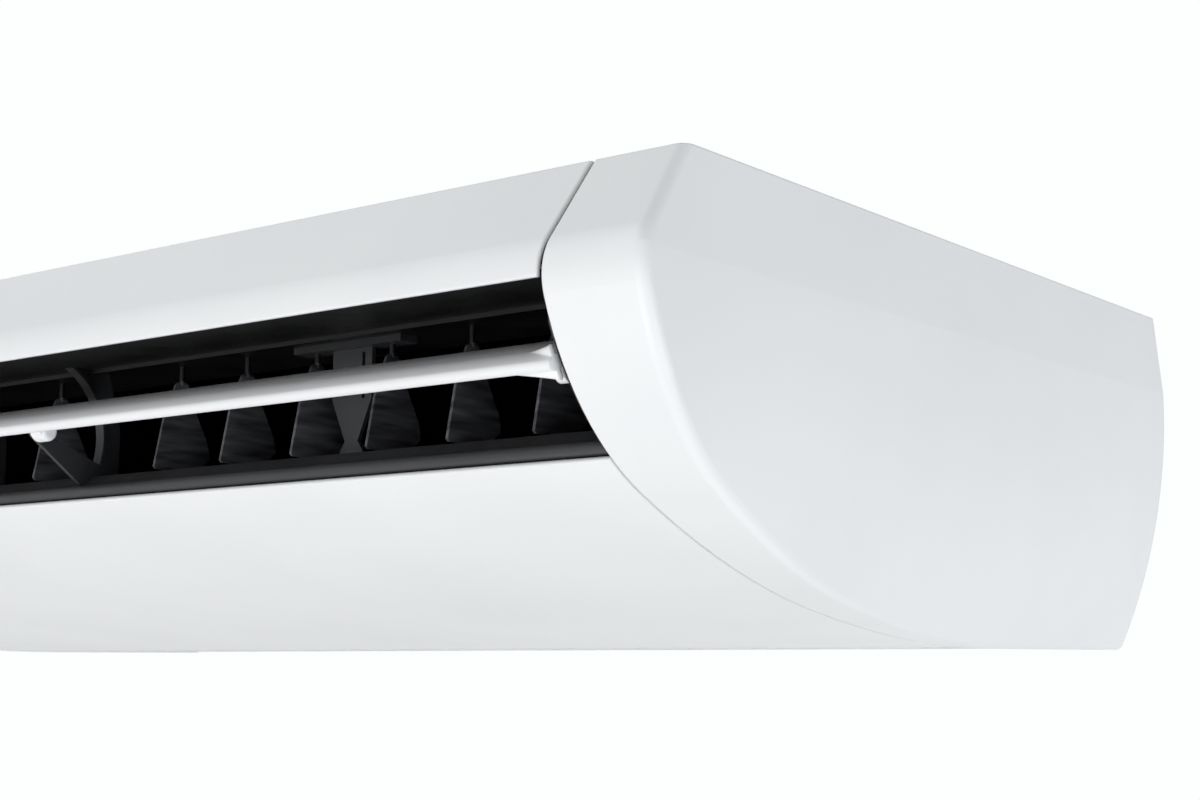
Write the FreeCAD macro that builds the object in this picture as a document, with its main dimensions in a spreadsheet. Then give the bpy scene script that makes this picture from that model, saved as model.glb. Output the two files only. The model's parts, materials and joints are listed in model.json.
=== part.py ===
import FreeCAD, Part
import math
import os
import re
import Sketcher
from FreeCAD import Placement, Rotation, Vector

# Under-ceiling air conditioner, indoor unit. The origin lies in the ceiling plane, at the middle of
# the four hanger holes. X runs along the unit, -Y is the front with the air outlet, +Z is up.
# "Setback" is a distance behind the front top edge, "drop" a distance below the ceiling plane.

SIZES = [
    # casing
    ("overall_width", 1080.0, "widest point of one end cover to the other"),
    ("overall_height", 234.99638, "ceiling plane to the flat of the bottom"),
    ("top_depth", 585.0, "front top edge to the back"),
    ("end_cover_depth", 59.5, "widest point of an end cover to its seam"),
    ("cover_wall", 2.5, "wall of the moulded covers"),
    ("upper_seam", 2.6, "open joint between upper panel and end cover"),
    ("lower_seam", 0.8, "open joint between lower panel and end cover"),
    ("crease_radius", 6.0, "rounding where front and side of an end cover meet"),
    ("edge_round", 1.0, "rounding of the panels' edges"),
    # line of the front, as a straight slope and four arcs that run into each other
    ("slope_angle", 52.0, "upper panel, degrees below the horizontal"),
    ("nose_radius", 30.0, "nose under the upper panel"),
    ("nose_angle", 71.0, "slope of the line where the nose ends"),
    ("breast_radius", 154.0, "arc across the air outlet"),
    ("breast_angle", 26.5, "slope where that arc ends"),
    ("belly_radius", 610.0, "long arc of the lower panel"),
    ("belly_angle", 10.5, "slope where the long arc ends"),
    ("keel_radius", 1210.0, "arc that runs out into the flat bottom"),
    ("mouth_top_angle", 88.0, "slope of the line at the lower edge of the upper panel"),
    ("mouth_low_angle", 37.0, "slope of the line at the upper edge of the lower panel"),
    ("mouth_lip", 9.0, "edge of the upper panel, turned in"),
    ("window_foot", 7.6, "cheek's window below the top of the rolled lip"),
    ("panel_lip", 10.0, "edge of the lower panel, turned in"),
    ("panel_step", 1.5, "that edge below the panel's top"),
    ("panel_end", 318.0, "setback of the lower panel's rear edge"),
    ("edge_gap", 0.25, "lower panel to the intake frame"),
    ("panel_foot", 8.0, "rear edge of the lower panel, turned up"),
    ("panel_tab", 20.0, "upper panel's flange under the top plate"),
    # line of the side
    ("side_inset", 5.4, "side at the ceiling, in from the widest point"),
    ("side_break", 55.5, "drop of the line between flat strip and dome"),
    ("side_crown", 60.0, "drop of the widest point"),
    ("side_radius", 415.0, "dome of the side"),
    # sheet metal chassis
    ("plate_gauge", 1.2, "galvanised sheet"),
    ("plate_gap", 0.5, "end plate to the seam"),
    ("top_setback", 4.0, "front edge of the top plate"),
    ("bead_width", 22.0, "stiffening swage in the top plate"),
    ("bead_depth", 3.0, "how far the swage is pressed down"),
    ("bead_pitch", 300.0, "between swages"),
    ("hanger_gauge", 2.5, "hanger bracket"),
    ("hanger_line", 33.0, "hanger holes beside the end plate"),
    ("hanger_span_y", 318.0, "hanger holes, across the unit"),
    ("hanger_hole", 6.0, "hanger hole, radius"),
    ("hanger_reach", 48.0, "flange of the hanger bracket"),
    ("hanger_length", 400.0, "hanger bracket, across the unit"),
    ("hanger_drop", 70.0, "web of the hanger bracket"),
    ("hanger_rib", 26.0, "legs of the corner gusset"),
    # air outlet
    ("cheek_wall", 2.0, "plate at each end of the outlet"),
    ("cheek_inset", 4.0, "cheek in from the line of the front"),
    ("guide_wall", 2.0, "wall of the air guides"),
    ("deck_drop", 62.0, "underside of the upper guide"),
    ("deck_end", 96.0, "setback where the upper guide turns up"),
    ("deck_rise", 12.0, "lean of the upturned wall"),
    ("ledge_setback", 24.0, "rib under the upper guide"),
    ("ledge_drop", 2.5, "height of that rib"),
    ("ledge_wall", 2.5, "thickness of that rib"),
    ("floor_drop", 128.5, "top of the lower guide"),
    ("floor_front", 30.0, "setback where its floor starts"),
    ("floor_end", 100.0, "setback where its floor ends"),
    ("floor_tail", 6.0, "run of the tail that dips to the drain pan"),
    ("lip_front", 15.0, "setback of the rolled lip"),
    ("lip_drop", 135.0, "top of the rolled lip"),
    ("lip_height", 9.5, "height of the rolled lip"),
    ("lip_depth", 12.0, "depth of the rolled lip"),
    ("lip_roll", 4.5, "roll of the lip, radius"),
    # louver and its stays
    ("louver_forward", 13.0, "louver pivot ahead of the front top edge"),
    ("louver_drop", 105.0, "drop of the louver pivot"),
    ("louver_tilt", 25.0, "louver at rest, rear edge up"),
    ("louver_front", 14.6, "pivot to the front edge"),
    ("louver_rear", 44.4, "pivot to the rear edge"),
    ("louver_lift", 3.3, "pivot to the blade's underside"),
    ("louver_edge", 2.2, "thickness at the rear edge"),
    ("louver_camber", 0.8, "hollow of the underside"),
    ("louver_nose", 3.2, "round of the front edge, radius"),
    ("louver_shoulder", 20.0, "slope where that round ends, degrees"),
    ("louver_bow", 29.0, "curve from there to the thickest place, radius"),
    ("louver_gap", 0.7, "louver to each cheek"),
    ("louver_pin", 4.0, "end pin, radius"),
    ("pin_hole", 8.0, "hole for that pin in the end plate, radius"),
    ("ear_length", 42.0, "flare at each end of the louver"),
    ("ear_height", 18.5, "upright ear at each end"),
    ("ear_lean", 120.0, "lean of the ear, degrees"),
    ("ear_slope", 58.5, "slope of the casing line at the ear"),
    ("ear_wall", 3.0, "thickness of the ear"),
    ("ear_root", 14.0, "flare where it leaves the blade"),
    ("lug_radius", 6.0, "pivot lug under the blade"),
    ("lug_length", 13.0, "pivot lug, along the unit"),
    ("lug_round", 3.0, "rounding of the lug's ends"),
    ("stay_pin", 2.0, "louver pin in the stay, radius"),
    ("stay_wall", 3.0, "stay"),
    ("stay_room", 1.0, "stay to the louver at each side"),
    ("stay_eye", 3.2, "eye at the tip of the stay, radius"),
    ("stay_clear", 3.9, "louver's rear edge to the hollow of the stay"),
    ("stay_turn", 18.0, "end of that hollow, degrees below the pivot"),
    ("stay_rim", 7.5, "rim along that hollow, along the unit"),
    ("stay_rim_wall", 1.8, "thickness of that rim"),
    ("stay_back", 50.0, "setback of the stay's rear edge"),
    ("stay_knee", 97.0, "drop where the rear edge starts to lean"),
    ("stay_top", 40.0, "setback of its upper rear corner"),
    # vanes
    ("vane_end", 58.9, "last vane to the cheek"),
    ("vane_axis", 50.0, "setback of the vane pivots"),
    ("vane_front", 20.0, "pivot to the front tip"),
    ("vane_chin", 18.5, "pivot to the front of the foot"),
    ("vane_rear", 23.5, "pivot to the rear edge"),
    ("vane_waist", 13.0, "pivot to the rear edge at the waist"),
    ("vane_throat", 13.0, "pivot to the front edge at mid height"),
    ("vane_crown", 4.2, "half width of the top"),
    ("vane_top", 72.0, "drop of the top"),
    ("vane_waist_drop", 93.0, "drop of the waist"),
    ("vane_back_drop", 109.0, "drop of the upper rear corner"),
    ("vane_heel_drop", 118.0, "drop of the lower rear corner"),
    ("vane_tip_drop", 125.5, "drop of the front tip"),
    ("vane_foot", 127.0, "drop of the foot"),
    ("vane_wall", 1.8, "thickness"),
    ("vane_round", 20.0, "rounding of the waist"),
    ("vane_pin", 1.6, "pivot, radius"),
    ("vane_stub", 5.0, "lower pivot below the foot"),
    ("arm_reach", 16.0, "crank arm above the upper guide"),
    ("arm_wall", 2.5, "thickness of arm and link bar"),
    ("arm_width", 7.0, "width of arm and link bar"),
    ("arm_gap", 0.5, "play above the upper guide and under the link"),
    ("link_pin", 1.8, "pin in the link bar, radius"),
    ("link_end", 12.0, "link bar past its last hole"),
    ("run_gap", 0.05, "running fit, on the radius"),
    # vane posts
    ("post_depth", 3.0, "plate of a vane post"),
    ("post_half", 15.5, "half width of the plate"),
    ("post_waist", 95.0, "drop where the plate starts to narrow"),
    ("post_toe", 5.0, "half width above the foot"),
    ("post_toe_drop", 119.0, "drop of that narrow place"),
    ("post_foot", 9.0, "half width of the foot"),
    ("post_sole", 4.0, "height of the foot"),
    ("bar_half", 42.5, "half length of the cross bar"),
    ("bar_depth", 14.0, "depth of the cross bar"),
    ("bar_wall", 4.0, "height of the cross bar"),
    ("slit_width", 2.4, "slit in the plate"),
    ("slit_offset", 9.0, "slit beside the middle"),
    # step motors
    ("stepper_radius", 14.0, "can of a step motor"),
    ("stepper_depth", 18.0, "length of the can"),
    ("stepper_shift", 8.0, "shaft beside the middle of the can"),
    ("stepper_ear", 21.0, "half span of the fixing ears"),
    ("stepper_tab", 3.5, "half width of an ear"),
    ("stepper_gauge", 1.5, "thickness of an ear"),
    ("stepper_gap", 2.0, "can over the link bar"),
    ("stepper_engage", 6.0, "shaft in the can"),
    ("stepper_socket", 7.5, "depth of the can's socket"),
    ("can_back", 6.4, "louver motor's can behind its shaft"),
    ("can_up", 4.8, "louver motor's can above its shaft"),
    # intake
    ("intake_recess", 1.0, "intake frame inside the line of the casing"),
    ("frame_wall", 2.5, "intake frame"),
    ("frame_rim", 7.2, "rim round each intake, above the frame"),
    ("rim_wall", 2.5, "thickness of that rim"),
    ("intake_mid", 10.0, "half width of the bar between the intakes"),
    ("intake_side", 12.0, "frame beside an intake"),
    ("intake_front", 384.0, "setback of the intakes"),
    ("intake_rear", 568.0, "setback of their rear edge"),
    ("grille_gap", 2.0, "grille to the frame"),
    ("grille_tail", 3.0, "grille to the frame behind the hinge"),
    ("grille_wall", 10.0, "grille"),
    ("grille_border", 16.0, "border of the grille"),
    ("grille_apron", 34.0, "plain strip at the front, for the latches"),
    ("slat_pitch", 9.0, "slat to slat"),
    ("slat_gap", 5.5, "open slot"),
    ("slot_rows", 13.0, "slots from front to rear"),
    ("grille_rib", 4.0, "rib across the slats"),
    ("hinge_setback", 560.0, "grille hinge"),
    ("hinge_pin", 2.6, "hinge pin, radius"),
    ("hinge_reach", 8.0, "length of a hinge pin"),
    ("latch_offset", 130.0, "latch beside the middle of its grille"),
    ("latch_width", 22.0, "thumb plate of a latch"),
    ("latch_depth", 14.0, "thumb plate, front to rear"),
    ("latch_thumb", 2.5, "thickness of the thumb plate"),
    ("latch_travel", 6.0, "slide of a latch"),
    ("latch_stem", 4.0, "half width of the stem"),
    ("latch_room", 0.4, "play round a latch"),
    ("latch_tongue", 2.5, "tongue over the frame's rim"),
    ("filter_inset", 10.0, "filter inside the grille"),
    ("filter_wall", 4.0, "filter frame"),
    ("filter_bar", 6.0, "bars of the filter frame"),
    ("filter_net", 0.8, "filter net"),
    ("filter_front", 412.0, "setback of the filter"),
    ("filter_rear", 553.0, "setback of its rear edge"),
    # coil and drain pan
    ("coil_setback", 202.0, "middle of the coil"),
    ("coil_drop", 97.0, "drop of the middle of the coil"),
    ("coil_angle", 39.5, "lean of the coil"),
    ("coil_height", 215.0, "coil along its lean"),
    ("coil_depth", 44.0, "coil through its rows"),
    ("coil_room", 71.8, "fin pack to the cheek, for the return bends"),
    ("coil_plate", 1.5, "end plate of the coil"),
    ("coil_flange", 2.5, "end plate past the fins"),
    ("tube_radius", 4.8, "coil tube"),
    ("tube_pitch", 25.4, "tube to tube in a row"),
    ("tube_stub", 5.0, "straight part of a return bend"),
    ("pan_inset", 8.0, "drain pan above the line of the casing"),
    ("pan_wall", 3.0, "drain pan"),
    ("pan_front_angle", 21.5, "slope of the line at the pan's front"),
    ("pan_rear_angle", 5.0, "slope of the line at the pan's rear"),
    ("pan_room", 30.8, "drain pan to the cheek"),
    ("pan_side", 18.0, "height of the pan's walls"),
    ("spout_radius", 8.5, "drain spout"),
    ("spout_bore", 6.5, "bore of the drain spout"),
    ("spout_length", 26.0, "drain spout"),
    # pipe unions
    ("gas_radius", 6.35, "gas pipe"),
    ("gas_thread", 9.5, "gas union, thread radius"),
    ("gas_inset", 20.8, "gas pipe to the end plate"),
    ("liquid_radius", 3.2, "liquid pipe"),
    ("liquid_thread", 5.5, "liquid union, thread radius"),
    ("liquid_inset", 44.8, "liquid pipe to the end plate"),
    ("pipe_bend", 16.0, "bend of the pipes"),
    ("union_length", 14.0, "thread of a union"),
    ("union_hex", 10.0, "hexagon of a union"),
    ("union_end", 574.0, "setback of the unions' ends"),
    ("port_end", 4.8, "pipe port in the back to the end plate"),
    ("port_width", 56.0, "pipe port, along the unit"),
    ("port_top", 126.0, "pipe port, upper side"),
    ("port_low", 180.0, "pipe port, lower side"),
    # fan
    ("deck_setback", 338.0, "plate between coil and fan"),
    ("deck_foot", 226.0, "drop of that plate's lower edge"),
    ("fan_setback", 462.0, "fan axis"),
    ("fan_axis_drop", 112.0, "drop of the fan axis"),
    ("fan_offset", 175.0, "wheel beside the middle"),
    ("wheel_radius", 75.0, "fan wheel"),
    ("wheel_inner", 61.0, "inside of its blades"),
    ("wheel_width", 166.0, "width of a wheel"),
    ("wheel_blades", 24.0, "blades of a wheel"),
    ("blade_wall", 1.2, "blade"),
    ("blade_lean", 9.0, "step of a blade, degrees round the wheel"),
    ("ring_wall", 3.0, "end rings and middle disc"),
    ("hub_radius", 15.0, "hub of a wheel"),
    ("hub_length", 34.0, "hub of a wheel"),
    ("shaft_radius", 6.0, "fan shaft"),
    ("shaft_tail", 4.0, "shaft past the wheel"),
    ("scroll_tongue", 80.0, "scroll casing at the tongue"),
    ("scroll_growth", 6.0, "growth of the scroll for a quarter turn"),
    ("scroll_wall", 2.0, "scroll casing"),
    ("scroll_width", 190.0, "scroll casing, along the unit"),
    ("scroll_eye", 57.0, "inlet of the scroll, radius"),
    ("motor_radius", 52.0, "fan motor"),
    ("motor_half", 46.0, "half length of the motor's can"),
    ("motor_boss", 20.0, "bearing boss of the motor, radius"),
    ("motor_nose", 9.0, "bearing boss of the motor, length"),
    ("clamp_wall", 2.5, "motor clamp"),
    ("clamp_width", 26.0, "motor clamp, along the unit"),
    ("clamp_foot", 78.0, "half span of the clamp's feet"),
    # control box
    ("box_gap", 30.0, "control box to the scroll casing"),
    ("box_end", 8.8, "control box to the end plate"),
    ("box_front", 352.0, "setback of the control box"),
    ("box_rear", 556.0, "setback of its rear side"),
    ("box_drop", 88.0, "drop of the control box"),
    ("box_lip", 8.0, "rim of the box's cover"),
    ("cable_port", 11.0, "cable hole, radius"),
]

doc = FreeCAD.newDocument("ceiling_unit")
table = doc.addObject("Spreadsheet::Sheet", "Sizes")
for row, (alias, size, note) in enumerate(SIZES, 1):
    table.set(f"A{row}", alias)
    table.set(f"B{row}", str(size))
    table.setAlias(f"B{row}", alias)
    table.set(f"C{row}", note)
doc.recompute()

ALIASES = {alias for alias, size, note in SIZES}
nodes = {}


def bind(text):
    """An expression written with the plain names of the sizes, made to read them from the sheet."""
    return re.sub(r"[a-z][a-z_]*", lambda word: "Sizes." * (word.group() in ALIASES) + word.group(), text)


def number(text):
    """The value of such an expression."""
    value = table.evalExpression(bind(text))
    return float(getattr(value, "Value", value))


def mirror_x(text):
    return f"-({text})"


# Places that many pieces share, written once as expressions.
FRONT = "(-top_depth / 2)"
REAR = "(top_depth / 2)"
SEAM = "(overall_width / 2 - end_cover_depth)"
LINE_FALL = (
    "(nose_radius * (cos(nose_angle) + cos(slope_angle))"
    " + breast_radius * (cos(breast_angle) - cos(nose_angle))"
    " + belly_radius * (cos(belly_angle) - cos(breast_angle))"
    " + keel_radius * (1 - cos(belly_angle)))"
)
SLOPE_DROP = f"(overall_height - {LINE_FALL})"
NOSE = f"(-{SLOPE_DROP} / tan(slope_angle) - nose_radius * (1 - sin(slope_angle)))"
PLATE_OUT = f"({SEAM} - plate_gap)"
PLATE_IN = f"({PLATE_OUT} - plate_gauge)"
CHEEK_IN = f"({PLATE_IN} - cheek_wall)"
FRAME_INSET = "(intake_recess + frame_wall)"
FRAME_FLOOR = "(-overall_height + intake_recess)"
FRAME_TOP = f"({FRAME_FLOOR} + frame_wall)"
VANES_A_SIDE = 7
PITCH = f"(({CHEEK_IN} - vane_end) / {VANES_A_SIDE})"
VANE_Y = f"({FRONT} + vane_axis)"
DECK_TOP = "(-deck_drop + guide_wall)"
ARM_LOW = f"({DECK_TOP} + arm_gap)"
ARM_TOP = f"({ARM_LOW} + arm_wall)"
LINK_LOW = f"({ARM_TOP} + arm_gap)"
LINK_TOP = f"({LINK_LOW} + arm_wall)"
PIN_LENGTH = f"({LINK_TOP} + arm_gap - {ARM_LOW})"
LOUVER_Y = f"({FRONT} - louver_forward)"
LIP_BACK = f"({FRONT} + lip_front + lip_depth - lip_height / 2)"
FAN_Y = f"({FRONT} + fan_setback)"
HANGER_X = f"({PLATE_OUT} + hanger_line)"
COIL_HALF = f"({CHEEK_IN} - coil_room)"
PAN_HALF = f"({CHEEK_IN} - pan_room)"
GAS_X = f"({PLATE_IN} - gas_inset)"
LIQUID_X = f"({PLATE_IN} - liquid_inset)"
PORT_OUT = f"({PLATE_IN} - port_end)"
PORT_IN = f"({PORT_OUT} - port_width)"
BOX_NEAR = "(fan_offset + scroll_width / 2 + box_gap)"
BOX_FAR = f"({PLATE_IN} - box_end)"
UPRIGHT = {
    "z": Rotation(),
    "x": Rotation(Vector(0, 1, 0), 90),
    "y": Rotation(Vector(1, 0, 0), -90),
}


def at(setback):
    return f"({FRONT} + {setback})"


def keep(name, piece):
    piece.Label = name
    nodes[name] = piece
    return piece


def solid(name, shape):
    """A piece whose form is worked out below from the sheet."""
    piece = doc.addObject("Part::Feature", name)
    piece.Shape = shape
    piece.Placement = Placement()
    return keep(name, piece)


# Sketch and feature helpers: every coordinate is an expression on the sheet.


def start(name):
    return keep(name, doc.addObject("PartDesign::Body", name))


def origin_part(body, role):
    return next(item for item in body.Origin.OriginFeatures if item.Role == role)


def sketch(body, role, loops=(), circles=(), lift=None):
    """Closed outlines with straight sides, and circles, on one of the body's own planes."""
    outline = body.newObject("Sketcher::SketchObject", "outline")
    outline.AttachmentSupport = [(origin_part(body, role), "")]
    outline.MapMode = "FlatFace"
    if lift:
        outline.setExpression("AttachmentOffset.Base.z", bind(lift))

    def pin(kind, element, point, text):
        rule = outline.addConstraint(Sketcher.Constraint(kind, element, point, number(text)))
        outline.setExpression(f"Constraints[{rule}]", bind(text))

    for loop in loops:
        first = outline.GeometryCount
        spots = [Vector(number(u), number(v), 0) for u, v in loop]
        for spot, following in zip(spots, spots[1:] + spots[:1]):
            outline.addGeometry(Part.LineSegment(spot, following), False)
        for step, (u, v) in enumerate(loop):
            after = first + (step + 1) % len(loop)
            outline.addConstraint(Sketcher.Constraint("Coincident", first + step, 2, after, 1))
            pin("DistanceX", first + step, 1, u)
            pin("DistanceY", first + step, 1, v)
    for u, v, radius in circles:
        ring = Part.Circle(Vector(number(u), number(v), 0), Vector(0, 0, 1), number(radius))
        element = outline.addGeometry(ring, False)
        pin("DistanceX", element, 3, u)
        pin("DistanceY", element, 3, v)
        rule = outline.addConstraint(Sketcher.Constraint("Radius", element, number(radius)))
        outline.setExpression(f"Constraints[{rule}]", bind(radius))
    return outline


def feature(body, kind, outline, length=None, both=False, reverse=False):
    """A Pad or Pocket of a sketch; with no length a Pocket goes right through."""
    step = body.newObject(f"PartDesign::{kind}", kind.lower())
    step.Profile = outline
    step.SideType = "Symmetric" if both else "One side"
    step.Reversed = reverse
    if length:
        step.setExpression("Length", bind(length))
    else:
        step.Type = "ThroughAll"
    body.Tip = step
    return step


def brick(body, kind, x, y, z):
    """An added or cut block between two expressions along each axis."""
    step = body.newObject(f"PartDesign::{kind}Box", "block")
    for axis, side, (low, high) in zip("xyz", ("Length", "Width", "Height"), (x, y, z)):
        step.setExpression(side, bind(f"({high}) - ({low})"))
        step.setExpression(f"Placement.Base.{axis}", bind(low))
    body.Tip = step
    return step


def rod(body, kind, axis, radius, x, y, z, length):
    """An added or cut cylinder that starts at x, y, z and runs along an axis."""
    step = body.newObject(f"PartDesign::{kind}Cylinder", "rod")
    step.setExpression("Radius", bind(radius))
    step.setExpression("Height", bind(length))
    step.Placement = Placement(Vector(), UPRIGHT[axis])
    for letter, text in zip("xyz", (x, y, z)):
        step.setExpression(f"Placement.Base.{letter}", bind(text))
    body.Tip = step
    return step


def pattern(body, original, role, length, count):
    """Equal copies of the last feature along one of the body's axes."""
    step = body.newObject("PartDesign::LinearPattern", "pattern")
    step.Originals = [original]
    step.Direction = (origin_part(body, role), [""])
    step.setExpression("Length", bind(length))
    step.setExpression("Occurrences", bind(count))
    body.Tip = step
    return step


def round_edges(body, edges, radius, kind="Fillet"):
    """A Fillet or Chamfer on the edges of the body's last shape that a test picks out."""
    doc.recompute()
    last = body.Tip
    names = [f"Edge{i}" for i, edge in enumerate(last.Shape.Edges, 1) if edges(edge)]
    step = body.newObject(f"PartDesign::{kind}", "round")
    step.Base = (last, names)
    step.setExpression("Radius" if kind == "Fillet" else "Size", bind(radius))
    body.Tip = step
    return step


def box(x, y, z):
    """A plain block as a shape, from pairs of numbers."""
    return Part.makeBox(x[1] - x[0], y[1] - y[0], z[1] - z[0], Vector(x[0], y[0], z[0]))


def cylinder_x(radius, x, y, z):
    return Part.makeCylinder(radius, x[1] - x[0], Vector(x[0], y, z), Vector(1, 0, 0))


def flipped(shape):
    return shape.mirror(Vector(), Vector(1, 0, 0))


# The line of the casing: a slope, then arcs by the nose, breast, belly and keel. A point on an arc
# is found from the slope of the line there, so that panels can stop at a stated slope.

half = number("overall_width / 2")
height = number("overall_height")
front = number(FRONT)
depth = number("top_depth")
wall = number("cover_wall")
seam = number(SEAM)
slope = math.radians(number("slope_angle"))
near_zero = number("run_gap") / 100
same_place = wall / 100


def line_arcs():
    """Centre, radius, first slope and last slope of each arc."""
    turns = [math.pi - slope]
    turns += [math.radians(number(name)) for name in ("nose_angle", "breast_angle", "belly_angle")] + [0.0]
    radii = [number(name) for name in ("nose_radius", "breast_radius", "belly_radius", "keel_radius")]
    z = -number(SLOPE_DROP)
    y = z / math.tan(slope)
    arcs = []
    for radius, first, last in zip(radii, turns, turns[1:]):
        centre_y = y + radius * math.sin(first)
        centre_z = z + radius * math.cos(first)
        arcs.append((centre_y, centre_z, radius, first, last))
        y = centre_y - radius * math.sin(last)
        z = centre_z - radius * math.cos(last)
    return arcs


ARCS = line_arcs()


def spot(setback, z, x=0.0):
    return Vector(x, front + setback, z)


def on_line(angle, inset=0.0):
    """Setback and z of the point, inset from the skin, where the line has this slope."""
    for centre_y, centre_z, radius, first, last in ARCS:
        if last <= angle <= first:
            reach = radius - inset
            return centre_y - reach * math.sin(angle), centre_z - reach * math.cos(angle)


def path(inset, first, last, top=None):
    """Edges along the line between two slopes, from a height on the straight slope if top is given."""
    edges = []
    if top is not None:
        begin = slope_point(top, inset)
        edges.append(Part.LineSegment(spot(*begin), spot(*on_line(ARCS[0][3], inset))).toShape())
    for centre_y, centre_z, radius, steep, flat in ARCS:
        a, b = min(first, steep), max(last, flat)
        if (a - b) * radius > near_zero:
            reach = radius - inset
            turns = (a, (a + b) / 2, b)
            three = [(centre_y - reach * math.sin(t), centre_z - reach * math.cos(t)) for t in turns]
            edges.append(Part.Arc(*[spot(*point) for point in three]).toShape())
    return edges


def slope_point(z, inset):
    """Point of the inset straight slope at a height."""
    y0, z0 = on_line(ARCS[0][3], inset)
    return y0 + (z - z0) / math.tan(slope), z


def casing_face(inset, top, rear):
    """Section of the whole casing, inset from the skin, up to a height and back to a setback."""
    edges = path(inset, ARCS[0][3], 0.0, top)
    low = spot(*on_line(0.0, inset))
    corners = [low, spot(rear, low.z), spot(rear, top), spot(*slope_point(top, inset))]
    edges += [Part.LineSegment(a, b).toShape() for a, b in zip(corners, corners[1:])]
    return Part.Face(Part.Wire(edges))


def strip_face(outer, inner, first, last, top=None):
    """Section of a wall that follows the line, between two insets."""
    outside = path(outer, first, last, top)
    inside = path(inner, first, last, top)
    ends = [spot(*on_line(last, outer)), spot(*on_line(last, inner))]
    begins = [spot(*slope_point(top, inset)) if top is not None else spot(*on_line(first, inset))
              for inset in (outer, inner)]
    closing = [Part.LineSegment(*pair).toShape() for pair in (ends, begins)]
    edges = outside + inside + closing
    return Part.Face(Part.Wire(Part.__sortEdges__(edges)))


def along_x(face, low, high):
    face = face.copy()
    face.translate(Vector(low, 0, 0))
    return face.extrude(Vector(high - low, 0, 0))


def angle_at(setback):
    """Slope of the line at a setback behind the outlet."""
    for centre_y, centre_z, radius, first, last in ARCS[1:]:
        sine = (centre_y - setback) / radius
        if math.sin(last) - 1e-9 <= sine <= math.sin(first):
            return math.asin(sine)
    return 0.0


SKIN = Part.Wire(path(0.0, ARCS[0][3], 0.0, 0.0))


def on_skin(edge):
    """Whether the middle of an edge lies on the line of the casing, below the ceiling."""
    middle = edge.valueAt((edge.FirstParameter + edge.LastParameter) / 2)
    flat = Part.Vertex(Vector(0, middle.y, middle.z))
    return middle.z < -wall and flat.distToShape(SKIN)[0] < same_place


def rounded_skin(shape, wanted):
    """A wall with the chosen edges of its outer side rounded."""
    edges = [edge for edge in shape.Edges if on_skin(edge) and wanted(edge)]
    return shape.makeFillet(number("edge_round"), edges)


# End covers: the line of the front run along X, met with the domed line of the side run along Y,
# rounded along the crease and hollow inside. They are open at the top and towards the chassis.


def side_face(inset, inner_x, top, low):
    radius = number("side_radius") - inset
    centre_x, centre_z = half - number("side_radius"), -number("side_crown")

    def dome(z):
        return centre_x + math.sqrt(radius ** 2 - (z - centre_z) ** 2)

    step = -number("side_break")
    strip = Vector(half - number("side_inset") - inset, 0, 0)
    lean = (dome(step) - strip.x) / step
    crown = Vector(strip.x + lean * top, 0, top)
    corner = Vector(dome(step), 0, step)
    foot = Vector(dome(low), 0, low)
    middle = Vector(dome((step + low) / 2), 0, (step + low) / 2)
    inner_low, inner_top = Vector(inner_x, 0, low), Vector(inner_x, 0, top)
    edges = [Part.LineSegment(crown, corner).toShape(), Part.Arc(corner, middle, foot).toShape()]
    edges += [Part.LineSegment(a, b).toShape()
              for a, b in ((foot, inner_low), (inner_low, inner_top), (inner_top, crown))]
    return Part.Face(Part.Wire(edges))


def end_cover():
    margin = 2 * wall
    side_slant = math.sin(math.radians(20))

    def form(inset, inner_x, top, rear):
        length = along_x(casing_face(inset, top, rear), inner_x, half + margin)
        side = side_face(inset, inner_x, top, -height + inset)
        side.translate(Vector(0, front - depth, 0))
        return length.common(side.extrude(Vector(0, 3 * depth, 0))).Solids[0]

    def crease(edge):
        middle = edge.valueAt((edge.FirstParameter + edge.LastParameter) / 2)
        faces = outer.ancestorsOfType(edge, Part.Face)
        ranges = [face.ParameterRange for face in faces]
        middles = [((a + b) / 2, (c + d) / 2) for a, b, c, d in ranges]
        slants = [abs(face.normalAt(*place).x) for face, place in zip(faces, middles)]
        inside = middle.y < front + depth - wall and middle.z < -wall and middle.x > seam + wall
        return inside and min(slants) < side_slant < max(slants)

    outer = form(0.0, seam, 0.0, depth)
    inner = form(wall, seam - wall, wall, depth - wall)
    rounded = outer.makeFillet(number("crease_radius"), [e for e in outer.Edges if crease(e)])
    rounded = rounded_skin(rounded, lambda edge: all(abs(v.X - seam) < same_place for v in edge.Vertexes))
    return rounded.cut(inner)


cover = end_cover()
solid("end_cover_right", cover)
solid("end_cover_left", flipped(cover))

# Front panels: thin walls that follow the line, with turned-in edges.

mouth_top = math.radians(number("mouth_top_angle"))
mouth_low = math.radians(number("mouth_low_angle"))
upper_half = seam - number("upper_seam")
lower_half = seam - number("lower_seam")
lip_half = number(CHEEK_IN) - number("louver_gap")
gauge = number("plate_gauge")


def upper_front_panel():
    skin = along_x(strip_face(0.0, wall, ARCS[0][3], mouth_top, 0.0), -upper_half, upper_half)
    skin = rounded_skin(skin, lambda edge: True)
    edge_y, edge_z = on_line(mouth_top)
    lip_y = (front + edge_y + wall / 2, front + edge_y + number("mouth_lip"))
    deck_z = number(DECK_TOP)
    lip = box((-lip_half, lip_half), lip_y, (deck_z, deck_z + wall))
    tab_y = slope_point(-gauge - wall / 2, wall / 2)[0]
    tab_end = tab_y + number("panel_tab")
    tab = box((-lip_half, lip_half), (front + tab_y, front + tab_end), (-gauge - wall, -gauge))
    return skin.fuse([lip, tab]).removeSplitter()


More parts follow.
